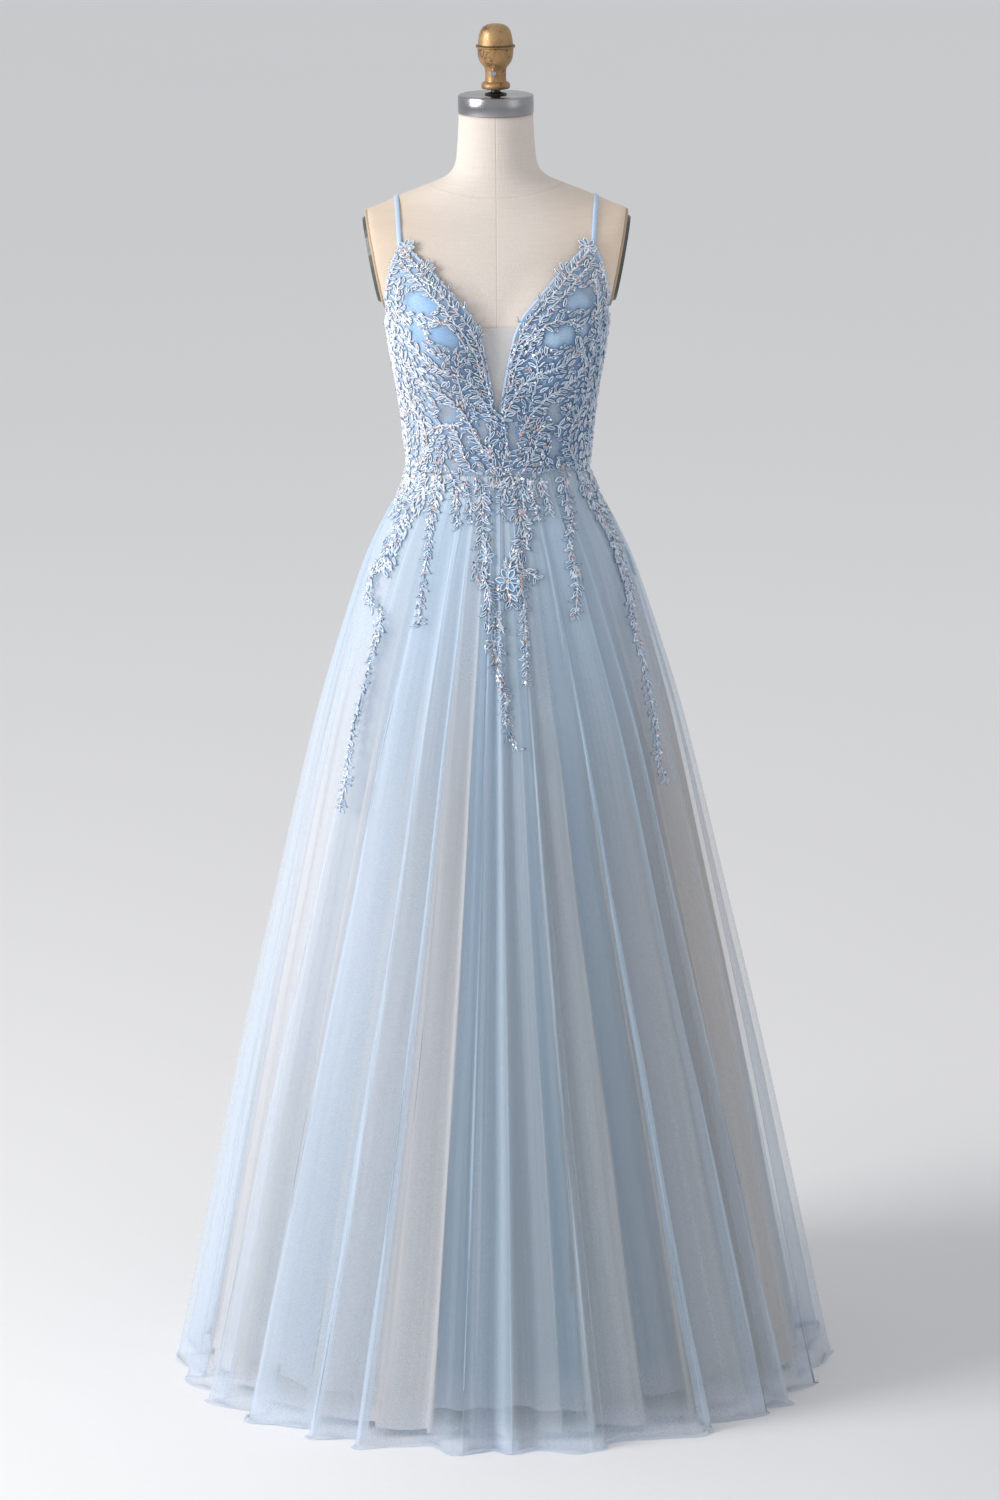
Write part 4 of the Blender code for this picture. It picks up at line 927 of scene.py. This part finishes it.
# Lace: corded leaves, petals, stems and loose curls of cord, sewn down close together over the
# net and in strands over the skirt, with sequins strewn over them.
LACE_LIFT, LACE_TOP_Z = 0.0009, 1.458
CORD_RISE, CORD_WIDEST = 0.13, 0.120  # of a motif one unit long
NET_PER_DEGREE, STRAND_PER_DEGREE = 0.0021, 0.0026  # metres
NET_STATION, STRAND_STATION = 0.0070, 0.0026  # metres between the leaves of a branch or strand
STEM_LENGTH, STRAND_STEM_LENGTH = 0.0125, 0.0120
CAST_FROM = 0.02  # how far outside the crests the rays start that find the overlay
MARGINS = {  # degrees, and how far under the top edge the lace ends
    "left": ((0.0, 9.0, 12.5, 15.0, 19.0, 24.0, 58.0, 60.0, 63.0, 76.0, 90.0),
             (0.0065, 0.0085, 0.0050, 0.0000, 0.0020, -0.0006, -0.0006, 0.0010, 0.0040, 0.0040, 0.0020)),
    "right": ((0.0, 12.0, 20.0, 30.0, 37.0, 42.0, 58.0, 60.0, 63.0, 76.0, 90.0),
              (0.0065, 0.0090, 0.0080, 0.0060, 0.0040, -0.0006, -0.0006, 0.0010, 0.0040, 0.0040, 0.0020)),
    "back": ((90.0, 180.0), (0.0020, 0.0020)),
}
NECK_BRANCHES = (  # stations of degrees and height on one side; the other side mirrors them
    ((4.5, 1.256), (8.5, 1.290), (12.5, 1.326), (19.0, 1.358), (29.0, 1.381), (42.0, 1.409),
     (57.0, 1.447)),
    ((11.0, 1.285), (16.5, 1.325), (24.0, 1.352), (35.0, 1.381), (48.0, 1.409), (58.0, 1.436)),
    ((87.0, 1.182), (84.0, 1.240), (84.0, 1.300), (76.5, 1.346), (68.5, 1.376), (61.0, 1.428)),
    ((78.0, 1.182), (74.0, 1.235), (76.0, 1.290), (69.0, 1.340), (62.0, 1.378), (58.0, 1.410)),
    ((22.0, 1.330), (27.0, 1.352), (36.0, 1.368), (45.0, 1.366), (54.0, 1.358), (62.0, 1.372)),
    ((6.0, 1.192), (17.0, 1.212), (25.0, 1.245), (38.0, 1.273), (53.0, 1.292), (66.0, 1.325)),
    ((4.0, 1.240), (10.0, 1.262), (20.0, 1.290), (33.0, 1.304), (47.0, 1.318), (58.0, 1.345)),
    ((3.0, 1.180), (8.0, 1.204), (6.0, 1.232)),
    ((22.0, 1.176), (30.0, 1.196), (32.0, 1.222), (40.0, 1.236), (50.0, 1.228)),
    ((64.0, 1.178), (56.0, 1.202), (58.0, 1.236), (66.0, 1.262), (64.0, 1.300)),
    ((26.0, 1.262), (30.0, 1.296), (28.0, 1.326)),
)
BACK_BRANCHES = (
    ((93.0, 1.182), (95.0, 1.240), (100.0, 1.300), (110.0, 1.338), (132.0, 1.343), (158.0, 1.322),
     (175.0, 1.307)),
    ((108.0, 1.180), (112.0, 1.230), (108.0, 1.270), (118.0, 1.310)),
    ((128.0, 1.182), (126.0, 1.225), (136.0, 1.262), (130.0, 1.305)),
    ((150.0, 1.180), (156.0, 1.215), (148.0, 1.250), (158.0, 1.285)),
    ((174.0, 1.178), (168.0, 1.200), (172.0, 1.240), (170.0, 1.280)),
)


def counted(shape):
    """A shape's points and its triangles, as arrays."""
    bmesh.ops.triangulate(shape, faces=shape.faces[:])
    shape.verts.index_update()
    points = np.array([vert.co[:] for vert in shape.verts])
    triangles = np.array([[vert.index for vert in face.verts] for face in shape.faces])
    shape.free()
    return points, triangles


def corded(width, bend, sway, blunt, hollow):
    """A leaf one unit long from its root: a raised cord round a hollow ground. Gives its points,
    its triangles and, for each point, how much it belongs to the cord."""
    shape = bmesh.new()
    bmesh.ops.create_circle(shape, cap_ends=True, segments=12, radius=0.5)
    for vert in shape.verts:
        along = 0.5 + vert.co.y
        half = width * math.sin(math.pi * min(along, 1.0)) ** blunt
        side = math.copysign(half, vert.co.x) if abs(vert.co.x) > 0.001 else 0.0
        vert.co = (side + bend * along * along + sway * math.sin(math.tau * along), along, 0.0)
    face = shape.faces[:]
    cord = min(CORD_WIDEST, 0.55 * width)
    for inset, rise in ((0.28, CORD_RISE), (0.42, 0.0), (0.25, -hollow)):
        bmesh.ops.inset_region(
            shape, faces=face, thickness=cord * inset, use_boundary=True, use_even_offset=True,
        )
        bmesh.ops.translate(shape, verts=face[0].verts[:], vec=(0.0, 0.0, rise))
    bmesh.ops.poke(shape, faces=face)
    points, triangles = counted(shape)
    return points, triangles, np.clip(points[:, 2] / CORD_RISE, 0.0, 1.0)


def curled(radius, half, degrees):
    """A loose end of cord that curls round in an arc, to the same scale as a leaf."""
    shape = bmesh.new()
    profile = ((radius - half, 0.0), (radius, CORD_RISE), (radius + half, 0.0))
    section = [shape.verts.new((x, 0.0, z)) for x, z in profile]
    edges = [shape.edges.new(pair) for pair in zip(section, section[1:])]
    bmesh.ops.spin(
        shape, geom=section + edges, cent=(0.0, 0.0, 0.0), axis=(0.0, 0.0, 1.0),
        angle=math.radians(degrees), steps=9, use_merge=False,
    )
    points, triangles = counted(shape)
    marks = 0.4 + 0.6 * points[:, 2] / CORD_RISE
    points[:, 0] -= radius
    return points, triangles, marks


LEAF, STROKE, PETAL, HOOK, CURL = range(5)
MOTIFS = (
    corded(0.200, 0.00, 0.00, 0.80, 0.115), corded(0.075, 0.06, 0.055, 0.55, 0.0),
    corded(0.300, 0.00, 0.00, 0.62, 0.115), corded(0.190, 0.40, 0.00, 0.80, 0.115),
    curled(0.30, 0.07, 235.0),
)
GIRTHS = (0.20, 0.08, 0.30, 0.22, 0.32)  # how far each motif keeps its neighbours off
MOTIFS_OVERLAP = 0.0006


def net_seat(degrees, z, across, up, out):
    """Where spots lie on the net: across and up are metres along it from the degrees and height."""
    angle = np.radians(degrees)
    step = 0.01
    round_way = on_form(angle + step, z, NET_OUT) - on_form(angle - step, z, NET_OUT)
    upward = on_form(angle, z + 0.002, NET_OUT) - on_form(angle, z - 0.002, NET_OUT)
    per_angle = np.linalg.norm(round_way, axis=-1) / (2.0 * step)
    rise = np.linalg.norm(upward, axis=-1) / 0.004
    height = np.maximum(z[:, None] + up / rise[:, None], SEAM_Z - 0.003)
    return on_form(angle[:, None] + across / per_angle[:, None], height, NET_OUT + LACE_LIFT + out)


def crest_reach(angle, z):
    """How far from the axis the overlay's crests are."""
    ring = smooth_rows(SKIRT_RINGS, np.minimum(z, WAIST_Z).ravel())
    side, fore = np.sin(angle).ravel(), np.cos(angle).ravel()
    return oval_reach(side, fore, ring[OVERLAY], ring).reshape(angle.shape)


def skirt_seat(degrees, z, across, up, out):
    """Where spots lie on the overlay, found by rays cast in from outside it."""
    angle = np.radians(degrees)
    reach = crest_reach(angle, z)
    flare = (crest_reach(angle, z - 0.02) - reach) / 0.02
    height = np.minimum(z[:, None] + up / np.hypot(1.0, flare)[:, None], WAIST_Z - 0.0005)
    turn = angle[:, None] + across / reach[:, None]
    crest = crest_reach(turn, height)
    found = np.zeros_like(crest)
    for row, column in np.ndindex(crest.shape):
        side, fore = math.sin(turn[row, column]), math.cos(turn[row, column])
        far = crest[row, column] + CAST_FROM
        start = Vector((far * side, -far * fore, height[row, column]))
        hits = [tree.ray_cast(start, Vector((-side, fore, 0.0)), 0.06)[3] for tree in overlay_trees]
        hits = [hit for hit in hits if hit is not None]
        found[row, column] = far - min(hits) if hits else crest[row, column] - 0.004
    found = np.maximum(found, found.mean(axis=1, keepdims=True) - 0.0025)
    found = found + (LACE_LIFT + out) * 1.1
    return np.stack((found * np.sin(turn), -found * np.cos(turn), height), axis=-1)


def sewn(name, seat, spots, *stands_for):
    """Joins motifs into one mesh. Each spot: degrees, height, heading, size, side, kind, tone, root."""
    points, triangles, cords, tones, first = [], [], [], [], 0
    for kind, (shape, faces, marks) in enumerate(MOTIFS):
        rows = spots[spots[:, 5] == kind]
        if not len(rows):
            continue
        degrees, z, heading, size, side, _, tone, root = rows.T[:, :, None]
        x, y = shape[:, 0] * (side * size), (shape[:, 1] - root) * size
        c, s = np.cos(heading), np.sin(heading)
        seated = seat(degrees[:, 0], z[:, 0], x * c + y * s, y * c - x * s, shape[:, 2] * size)
        count = len(shape)
        points.append(seated.reshape(-1, 3))
        triangles.append((faces + first + count * np.arange(len(rows))[:, None, None]).reshape(-1, 3))
        cords.append(np.tile(marks, len(rows)))
        tones.append(np.repeat(tone, count))
        first += count * len(rows)
    joined(name, points, triangles, {"cord": cords, "tone": tones}, lace_finish, stands_for)


def joined(name, points, triangles, marks, finish, stands_for=()):
    """Many small shapes as one mesh, with marks for its finish at each point."""
    mesh = bpy.data.meshes.new(name)
    mesh.from_pydata(np.concatenate(points), [], np.concatenate(triangles))
    for mark, values in marks.items():
        mesh.attributes.new(mark, "FLOAT", "POINT").data.foreach_set("value", np.concatenate(values))
    placed(name, mesh, finish, stands_for)


def paced(route, per_degree, step):
    """Stations at even steps along a route of degrees and height: rows of them and their headings."""
    route = np.asarray(route, float)
    flat = route[:, :2] * (per_degree, 1.0)
    runs = np.concatenate(((0.0,), np.cumsum(np.linalg.norm(np.diff(flat, axis=0), axis=1))))
    count = max(2, int(runs[-1] / step))
    at = np.linspace(0.0, runs[-1], count + 1)
    rows = eased(np.stack([np.interp(at, runs, column) for column in route.T], axis=-1), 2)
    ahead = np.gradient(rows[:, :2] * (per_degree, 1.0), axis=0)
    return rows, np.arctan2(ahead[:, 0], ahead[:, 1])


def packed(spots, per_degree, stems, fits=None):
    """Keeps the stems, which come first, then each motif that lies clear of those kept before it.
    per_degree is how many metres a degree is at each of the spots."""
    kept, pool = [], np.empty((0, 3))
    for index, (spot, metres) in enumerate(zip(spots, per_degree)):
        degrees, z, heading, size, _, kind, _, root = spot
        along = (np.array((0.15, 0.50, 0.85)) - root) * size
        girth = GIRTHS[int(kind)] * size * np.array((0.75, 1.0, 0.75))
        turned_out = degrees + along * math.sin(heading) / metres
        trail = np.stack((turned_out, z + along * math.cos(heading), girth), axis=-1)
        if fits and not fits(trail):
            continue
        if index >= stems and len(pool):
            away = np.hypot((pool[:, None, 0] - trail[:, 0]) * metres, pool[:, None, 1] - trail[:, 1])
            if (away - pool[:, None, 2] - trail[:, 2]).min() < -MOTIFS_OVERLAP:
                continue
        pool = np.vstack((pool, trail * (1.0, 1.0, 1.0 if index >= stems or kind == PETAL else 0.0)))
        kept.append(spot)
    return np.array(kept)


def net_spots(branches, turn, edge, margins, seed, span):
    """Stems and leaves along the branches of one side, then a close fill between them, kept out of
    the bare places and off the margin under the top edge."""
    dice = np.random.default_rng(seed)
    stems, leaves, flow = [], [], []
    for branch in branches:
        rows, headings = paced(branch, NET_PER_DEGREE, NET_STATION)
        for index, ((degrees, z), heading) in enumerate(zip(rows, headings)):
            flow.append((degrees, z, heading))
            tone = dice.uniform(0.0, 1.0)
            turned_way = 1.0 if index % 2 else -1.0
            lean = heading + dice.normal(0.0, 0.16)
            stems.append((degrees, z, lean, STEM_LENGTH, turned_way, STROKE, 0.3 * tone, 0.5))
            for side in (1.0, -1.0):
                kind = dice.choice((LEAF, HOOK, LEAF, HOOK, STROKE))
                spread = side * dice.uniform(0.45, 0.95)
                size = dice.uniform(0.0095, 0.0135)
                leaves.append((degrees, z, heading + spread, size, side, kind, tone, -0.08))
    flow = np.array(flow)
    for count, sizes, kinds in (
        (1500, (0.0105, 0.0135), (LEAF, HOOK, LEAF, HOOK)),
        (2600, (0.0078, 0.0100), (LEAF, HOOK, LEAF, PETAL, CURL)),
        (3200, (0.0055, 0.0075), (LEAF, STROKE, HOOK, PETAL)),
    ):
        for degrees, z in dice.uniform((span[0], SEAM_Z + 0.002), (span[1], LACE_TOP_Z), (count, 2)):
            away = np.hypot((flow[:, 0] - degrees) * NET_PER_DEGREE, flow[:, 1] - z)
            heading = flow[int(away.argmin()), 2] + dice.normal(0.0, 0.38)
            heading = heading + math.pi * (dice.uniform() < 0.25)
            kind = dice.choice(kinds)
            size, side = dice.uniform(*sizes), dice.choice((-1.0, 1.0))
            leaves.append((degrees, z, heading, size, side, kind, dice.uniform(), 0.5))

    def fits(trail):
        degrees = trail[:, 0]
        top = np.interp(degrees, edge[:, 0], edge[:, 1]) - np.interp(degrees, *margins)
        inside = (trail[:, 1] < top).all() and trail[:, 1].min() > SEAM_Z - 0.004
        inside = inside and degrees.min() > span[0] - 1.0 and degrees.max() < span[1] + 1.0
        return inside and bareness(turn * degrees, trail[:, 1]).max() < -0.12

    spots = np.array(stems + leaves)
    angles, step = np.radians(spots[:, 0]), math.radians(0.5)
    degree_ends = (on_form(angles + way, spots[:, 1], NET_OUT) for way in (step, -step))
    per_degree = np.linalg.norm(np.subtract(*degree_ends), axis=-1)
    spots = packed(spots, per_degree, len(stems), fits)
    spots[:, (0, 2, 4)] *= turn
    return spots


def flower(degrees, z, per_degree, reach, petals, dice):
    """An open flower: petals in a ring round one spot."""
    rows = []
    start = dice.uniform(0.0, math.tau)
    for index in range(petals):
        heading = start + math.tau * index / petals
        across, up = 0.10 * reach * math.sin(heading), 0.10 * reach * math.cos(heading)
        tone = dice.uniform(0.5, 1.0)
        rows.append((degrees + across / per_degree, z + up, heading, reach, 1.0, PETAL, tone, -0.05))
    return rows


lace_finish = Finish("cord_lace", (150, 178, 212), 0.55, Sheen_Weight=0.15, Specular_IOR_Level=0.5)
lace_cord, lace_tone = lace_finish.mark("cord"), lace_finish.mark("tone")
lace_z = lace_finish.axis("Z")
lace_lit = lace_finish.axis("X").step(0.0, -0.11) * lace_z.step(1.08, 1.20)
lace_lit = lace_lit.larger(lace_z.step(1.350, 1.415) * 0.75)
lace_ground = lace_finish.blend(lace_tone, (78, 118, 164), (128, 166, 206))
lace_pale = lace_finish.blend(lace_tone, (186, 207, 230), (234, 242, 250))
lace_ground = lace_finish.blend(lace_lit, lace_ground, (152, 180, 210))
lace_pale = lace_finish.blend(lace_lit, lace_pale, (240, 243, 247))
lace_finish.dye(lace_ground, (lace_cord.step(0.15, 0.75), lace_pale))
lace_finish.relief(lace_finish.noise(900.0, 2.0), 0.0003)

sequin_finish = Finish("sequins", (240, 243, 248), 0.28, Metallic=0.35, Coat_Weight=0.6)
sequin_hue = sequin_finish.mark("hue")
sequin_finish.dye((244, 247, 252), *(
    (sequin_hue.step(share, share + 0.01), tint) for share, tint in (
        (0.55, (234, 178, 176)), (0.70, (214, 164, 118)), (0.80, (120, 186, 196)), (0.87, (70, 92, 132)),
    )
))
SEQUIN_SIZES, SEQUIN_OUT, SEQUIN_STRAY, SEQUIN_TIP = (0.0019, 0.0028), 0.0023, 0.0014, 0.28
sequin_shape = bmesh.new()
bmesh.ops.create_circle(sequin_shape, cap_ends=True, segments=6, radius=0.5)
bmesh.ops.poke(sequin_shape, faces=sequin_shape.faces[:], offset=0.10)
SEQUIN = counted(sequin_shape)


def sequined(name, seat, spots, share, seed):
    """Sequins over a share of the motifs, faintly cupped and each a little tipped."""
    dice = np.random.default_rng(seed)
    chosen = spots[dice.uniform(size=len(spots)) < share]
    shape, faces = SEQUIN
    count = len(chosen)
    size = dice.uniform(*SEQUIN_SIZES, count)[:, None]
    tip_x, tip_y = dice.normal(0.0, SEQUIN_TIP, (2, count))[:, :, None]
    x = shape[:, 0] * size + dice.normal(0.0, SEQUIN_STRAY, count)[:, None]
    y = shape[:, 1] * size + dice.normal(0.0, SEQUIN_STRAY, count)[:, None]
    out = SEQUIN_OUT + (shape[:, 0] * tip_x + shape[:, 1] * tip_y) * size + shape[:, 2] * size
    seated = seat(chosen[:, 0], chosen[:, 1], x, y, out).reshape(-1, 3)
    corners = (faces + len(shape) * np.arange(count)[:, None, None]).reshape(-1, 3)
    hue = np.repeat(dice.uniform(size=count), len(shape))
    joined(name, [seated], [corners], {"hue": [hue]}, sequin_finish)


SPRIGS = {  # degrees, height, heading, size and kind of the motifs that stand over the neck edge
    "left": (
        (13.2, 1.352, -0.35, 0.0110, HOOK), (15.2, 1.360, 0.25, 0.0100, HOOK),
        (12.6, 1.349, -1.1, 0.0080, STROKE), (22.5, 1.381, -0.30, 0.0100, HOOK),
        (24.5, 1.385, 0.35, 0.0080, HOOK), (45.5, 1.427, -0.75, 0.0110, LEAF),
        (46.5, 1.429, -0.15, 0.0125, LEAF), (47.5, 1.430, 0.45, 0.0105, LEAF),
        (44.5, 1.425, -1.25, 0.0100, HOOK), (33.0, 1.405, -0.40, 0.0080, LEAF),
    ),
    "right": (
        (16.5, 1.364, -0.80, 0.0080, HOOK), (28.5, 1.393, -0.30, 0.0070, HOOK),
        (42.0, 1.421, -0.75, 0.0105, LEAF), (43.5, 1.425, -0.10, 0.0120, LEAF),
        (45.0, 1.428, 0.50, 0.0100, LEAF),
    ),
}
for (name, turn), seed in zip(SIDES, (11, 23)):
    front_spots = net_spots(NECK_BRANCHES, turn, FRONT_EDGE, MARGINS[name], seed, (0.4, 89.2))
    dice = np.random.default_rng(seed + 100)
    tufts = flower(turn * 57.8, 1.4530, NET_PER_DEGREE, 0.0100, 7, dice)
    for degrees, z, heading, size, kind in SPRIGS[name]:
        tufts.append((turn * degrees, z, turn * heading, size, turn, kind, 0.6, 0.0))
    front_spots = np.vstack((front_spots, np.array(tufts)))
    back_spots = net_spots(BACK_BRANCHES, turn, BACK_EDGE, MARGINS["back"], seed + 5, (90.8, 179.2))
    for part, spots, share, sequin_seed, nodes in (
        ("front_", front_spots, 0.85, seed + 1, ("neckline_", "armhole_", "bust_", "midriff_")),
        ("back_", back_spots, 0.75, seed + 6, ("back_neckline_", "back_side_", "back_middle_")),
    ):
        sewn("lace_" + part + name, net_seat, spots, *("lace_" + node + name for node in nodes))
        sequined("sequins_" + part + name, net_seat, spots, share, sequin_seed)

STRANDS = {  # each strand's routes, of degrees, height and half width
    "outer_left": (
        ((-56.6, 1.169, 0.020), (-58.9, 1.146, 0.024), (-65.9, 1.119, 0.024), (-65.2, 1.099, 0.021),
         (-66.0, 1.072, 0.016), (-64.5, 1.048, 0.012)),
        ((-78.0, 1.169, 0.020), (-76.0, 1.140, 0.020), (-74.0, 1.110, 0.012)),
        ((-65.9, 1.060, 0.010), (-73.5, 1.042, 0.012), (-71.4, 1.018, 0.010), (-64.3, 1.002, 0.006)),
        ((-59.6, 0.999, 0.006), (-57.9, 0.981, 0.012), (-58.0, 0.966, 0.013), (-58.3, 0.939, 0.006),
         (-57.2, 0.916, 0.006), (-57.9, 0.895, 0.006), (-57.3, 0.865, 0.005), (-55.9, 0.821, 0.005),
         (-55.0, 0.794, 0.005), (-55.0, 0.760, 0.004)),
    ),
    "inner_left": (
        ((-46.5, 1.169, 0.012), (-48.1, 1.138, 0.014), (-46.3, 1.122, 0.010), (-44.7, 1.099, 0.006),
         (-41.4, 1.077, 0.006), (-40.9, 1.054, 0.004), (-39.6, 1.030, 0.005), (-37.9, 0.991, 0.004)),
        ((-37.7, 1.169, 0.010), (-32.5, 1.144, 0.008), (-31.1, 1.126, 0.006), (-27.2, 1.110, 0.004)),
        ((-25.6, 1.158, 0.007), (-21.1, 1.133, 0.005), (-19.6, 1.116, 0.003)),
    ),
    "centre_left": (
        ((-15.6, 1.169, 0.016), (-12.7, 1.153, 0.021), (-11.5, 1.125, 0.013), (-10.2, 1.094, 0.013),
         (-7.0, 1.080, 0.018), (-10.5, 1.057, 0.015), (-4.7, 1.034, 0.010), (-4.5, 1.012, 0.012),
         (-2.2, 0.989, 0.013), (-2.1, 0.966, 0.014), (-1.5, 0.952, 0.006), (0.0, 0.931, 0.008),
         (2.3, 0.909, 0.006), (2.7, 0.886, 0.006), (3.6, 0.863, 0.006), (6.2, 0.846, 0.003)),
        ((-3.0, 1.169, 0.014), (-2.0, 1.156, 0.010)),
        ((4.6, 1.068, 0.006), (5.0, 1.053, 0.016), (4.7, 1.035, 0.018), (6.3, 1.017, 0.008)),
    ),
    "centre_right": (
        ((21.0, 1.169, 0.014), (17.9, 1.151, 0.018), (14.7, 1.125, 0.014), (17.7, 1.102, 0.013),
         (12.1, 1.079, 0.014), (9.8, 1.065, 0.012), (11.9, 1.045, 0.008), (12.5, 1.023, 0.007),
         (12.2, 0.993, 0.006), (12.0, 0.971, 0.008), (11.4, 0.951, 0.004), (10.7, 0.926, 0.002)),
        ((11.7, 1.056, 0.008), (17.6, 1.053, 0.010), (20.1, 1.048, 0.006)),
        ((9.3, 1.169, 0.016), (7.0, 1.156, 0.014), (2.8, 1.140, 0.006), (2.5, 1.122, 0.003)),
    ),
    "inner_right": (
        ((53.9, 1.169, 0.013), (51.0, 1.137, 0.012), (50.1, 1.117, 0.009), (44.3, 1.095, 0.006),
         (42.1, 1.075, 0.006), (41.3, 1.053, 0.008), (41.0, 1.038, 0.008), (39.0, 1.018, 0.005),
         (36.9, 0.999, 0.003)),
        ((34.1, 1.169, 0.009), (34.8, 1.149, 0.008), (37.1, 1.138, 0.006), (36.5, 1.122, 0.003)),
        ((26.4, 1.160, 0.008), (27.6, 1.132, 0.006), (27.5, 1.118, 0.003)),
    ),
    "outer_right": (
        ((70.0, 1.169, 0.018), (71.4, 1.134, 0.022), (73.2, 1.109, 0.021), (74.2, 1.088, 0.018),
         (73.2, 1.064, 0.016), (71.2, 1.042, 0.016), (71.5, 1.022, 0.015), (67.8, 1.001, 0.012),
         (65.8, 0.978, 0.008), (64.7, 0.960, 0.007), (64.6, 0.939, 0.006), (63.1, 0.910, 0.005),
         (62.5, 0.880, 0.005), (62.2, 0.859, 0.004), (60.3, 0.815, 0.003), (61.1, 0.785, 0.003)),
        ((84.0, 1.169, 0.012), (84.0, 1.140, 0.012), (80.0, 1.115, 0.010)),
    ),
    "back_outer_left": (
        ((-104.0, 1.169, 0.024), (-108.0, 1.120, 0.022), (-112.0, 1.070, 0.016), (-110.0, 1.030, 0.013),
         (-115.0, 0.990, 0.010), (-114.0, 0.930, 0.006), (-118.0, 0.850, 0.004)),
        ((-126.0, 1.169, 0.014), (-130.0, 1.120, 0.010), (-128.0, 1.080, 0.006)),
    ),
    "back_outer_right": (
        ((104.0, 1.169, 0.024), (109.0, 1.120, 0.022), (111.0, 1.075, 0.016), (108.0, 1.035, 0.013),
         (114.0, 0.985, 0.010), (115.0, 0.920, 0.006), (118.0, 0.845, 0.004)),
        ((127.0, 1.169, 0.014), (130.0, 1.125, 0.010), (127.0, 1.085, 0.006)),
    ),
    "back_inner_left": (
        ((-152.0, 1.169, 0.018), (-149.0, 1.120, 0.014), (-153.0, 1.070, 0.012), (-149.0, 1.020, 0.008),
         (-153.0, 0.960, 0.004)),
        ((-172.0, 1.169, 0.012), (-170.0, 1.130, 0.008), (-172.0, 1.095, 0.004)),
    ),
    "back_inner_right": (
        ((152.0, 1.169, 0.018), (150.0, 1.115, 0.014), (153.0, 1.065, 0.012), (149.0, 1.015, 0.008),
         (153.0, 0.955, 0.004)),
        ((171.0, 1.169, 0.012), (170.0, 1.125, 0.008), (172.0, 1.090, 0.004)),
    ),
}


def strand_spots(routes, seed, flowers):
    """A stem down each route, leaves off both its sides, and a fill out to the route's width."""
    dice = np.random.default_rng(seed)
    stems, leaves = [], []
    for degrees, z, reach in flowers:
        stems += flower(degrees, z, STRAND_PER_DEGREE, reach, 6, dice)
    for route in routes:
        middle = route[len(route) // 2]
        per_degree = math.radians(crest_reach(np.radians([middle[0]]), np.array([middle[1]]))[0])
        rows, headings = paced(route, per_degree, STRAND_STATION)
        for index, ((degrees, z, half), heading) in enumerate(zip(rows, headings)):
            side = 1.0 if index % 2 else -1.0
            if index % 4 == 0:
                tone = dice.uniform(0.0, 0.3)
                stems.append((degrees, z, heading, STRAND_STEM_LENGTH, side, STROKE, tone, 0.5))
            size = min(0.0140, 0.0075 + 0.45 * half) * dice.uniform(0.85, 1.1)
            kind = dice.choice((LEAF, HOOK, LEAF, HOOK, STROKE))
            lean = heading + side * dice.uniform(0.4, 0.9)
            leaves.append((degrees, z, lean, size, side, kind, dice.uniform(), -0.02))
        for size in (0.0125, 0.0095, 0.0070):
            for _ in range(14):
                for (degrees, z, half), heading in zip(rows, headings):
                    across = dice.uniform(-1.0, 1.0) * (half - 0.003)
                    if half < 0.006:
                        continue
                    x = degrees + across * math.cos(heading) / per_degree
                    lean = heading + 40.0 * across + dice.normal(0.0, 0.3)
                    kind = dice.choice((LEAF, HOOK, STROKE, LEAF, PETAL, CURL))
                    leaves.append((
                        x, z - across * math.sin(heading), lean, size, math.copysign(1.0, across), kind,
                        dice.uniform(), 0.5,
                    ))
    spots = np.array(stems + leaves)
    per_degree = np.radians(crest_reach(np.radians(spots[:, 0]), spots[:, 1]))
    spots = packed(spots, per_degree, len(stems))
    return spots[spots[:, 1] < WAIST_Z - 0.001]


STRAND_FLOWERS = {  # degrees, height and reach of the open flowers
    "centre_left": (
        (4.8, 1.046, 0.0140), (-7.6, 1.074, 0.0100), (-2.2, 0.972, 0.0100), (-2.0, 1.004, 0.0085),
    ),
}
for index, (name, routes) in enumerate(STRANDS.items()):
    spots = strand_spots(routes, 300 + index, STRAND_FLOWERS.get(name, ()))
    sewn("lace_" + name, skirt_seat, spots, "spray_" + name)
    sequined("sequins_" + name, skirt_seat, spots, 0.75, 400 + index)
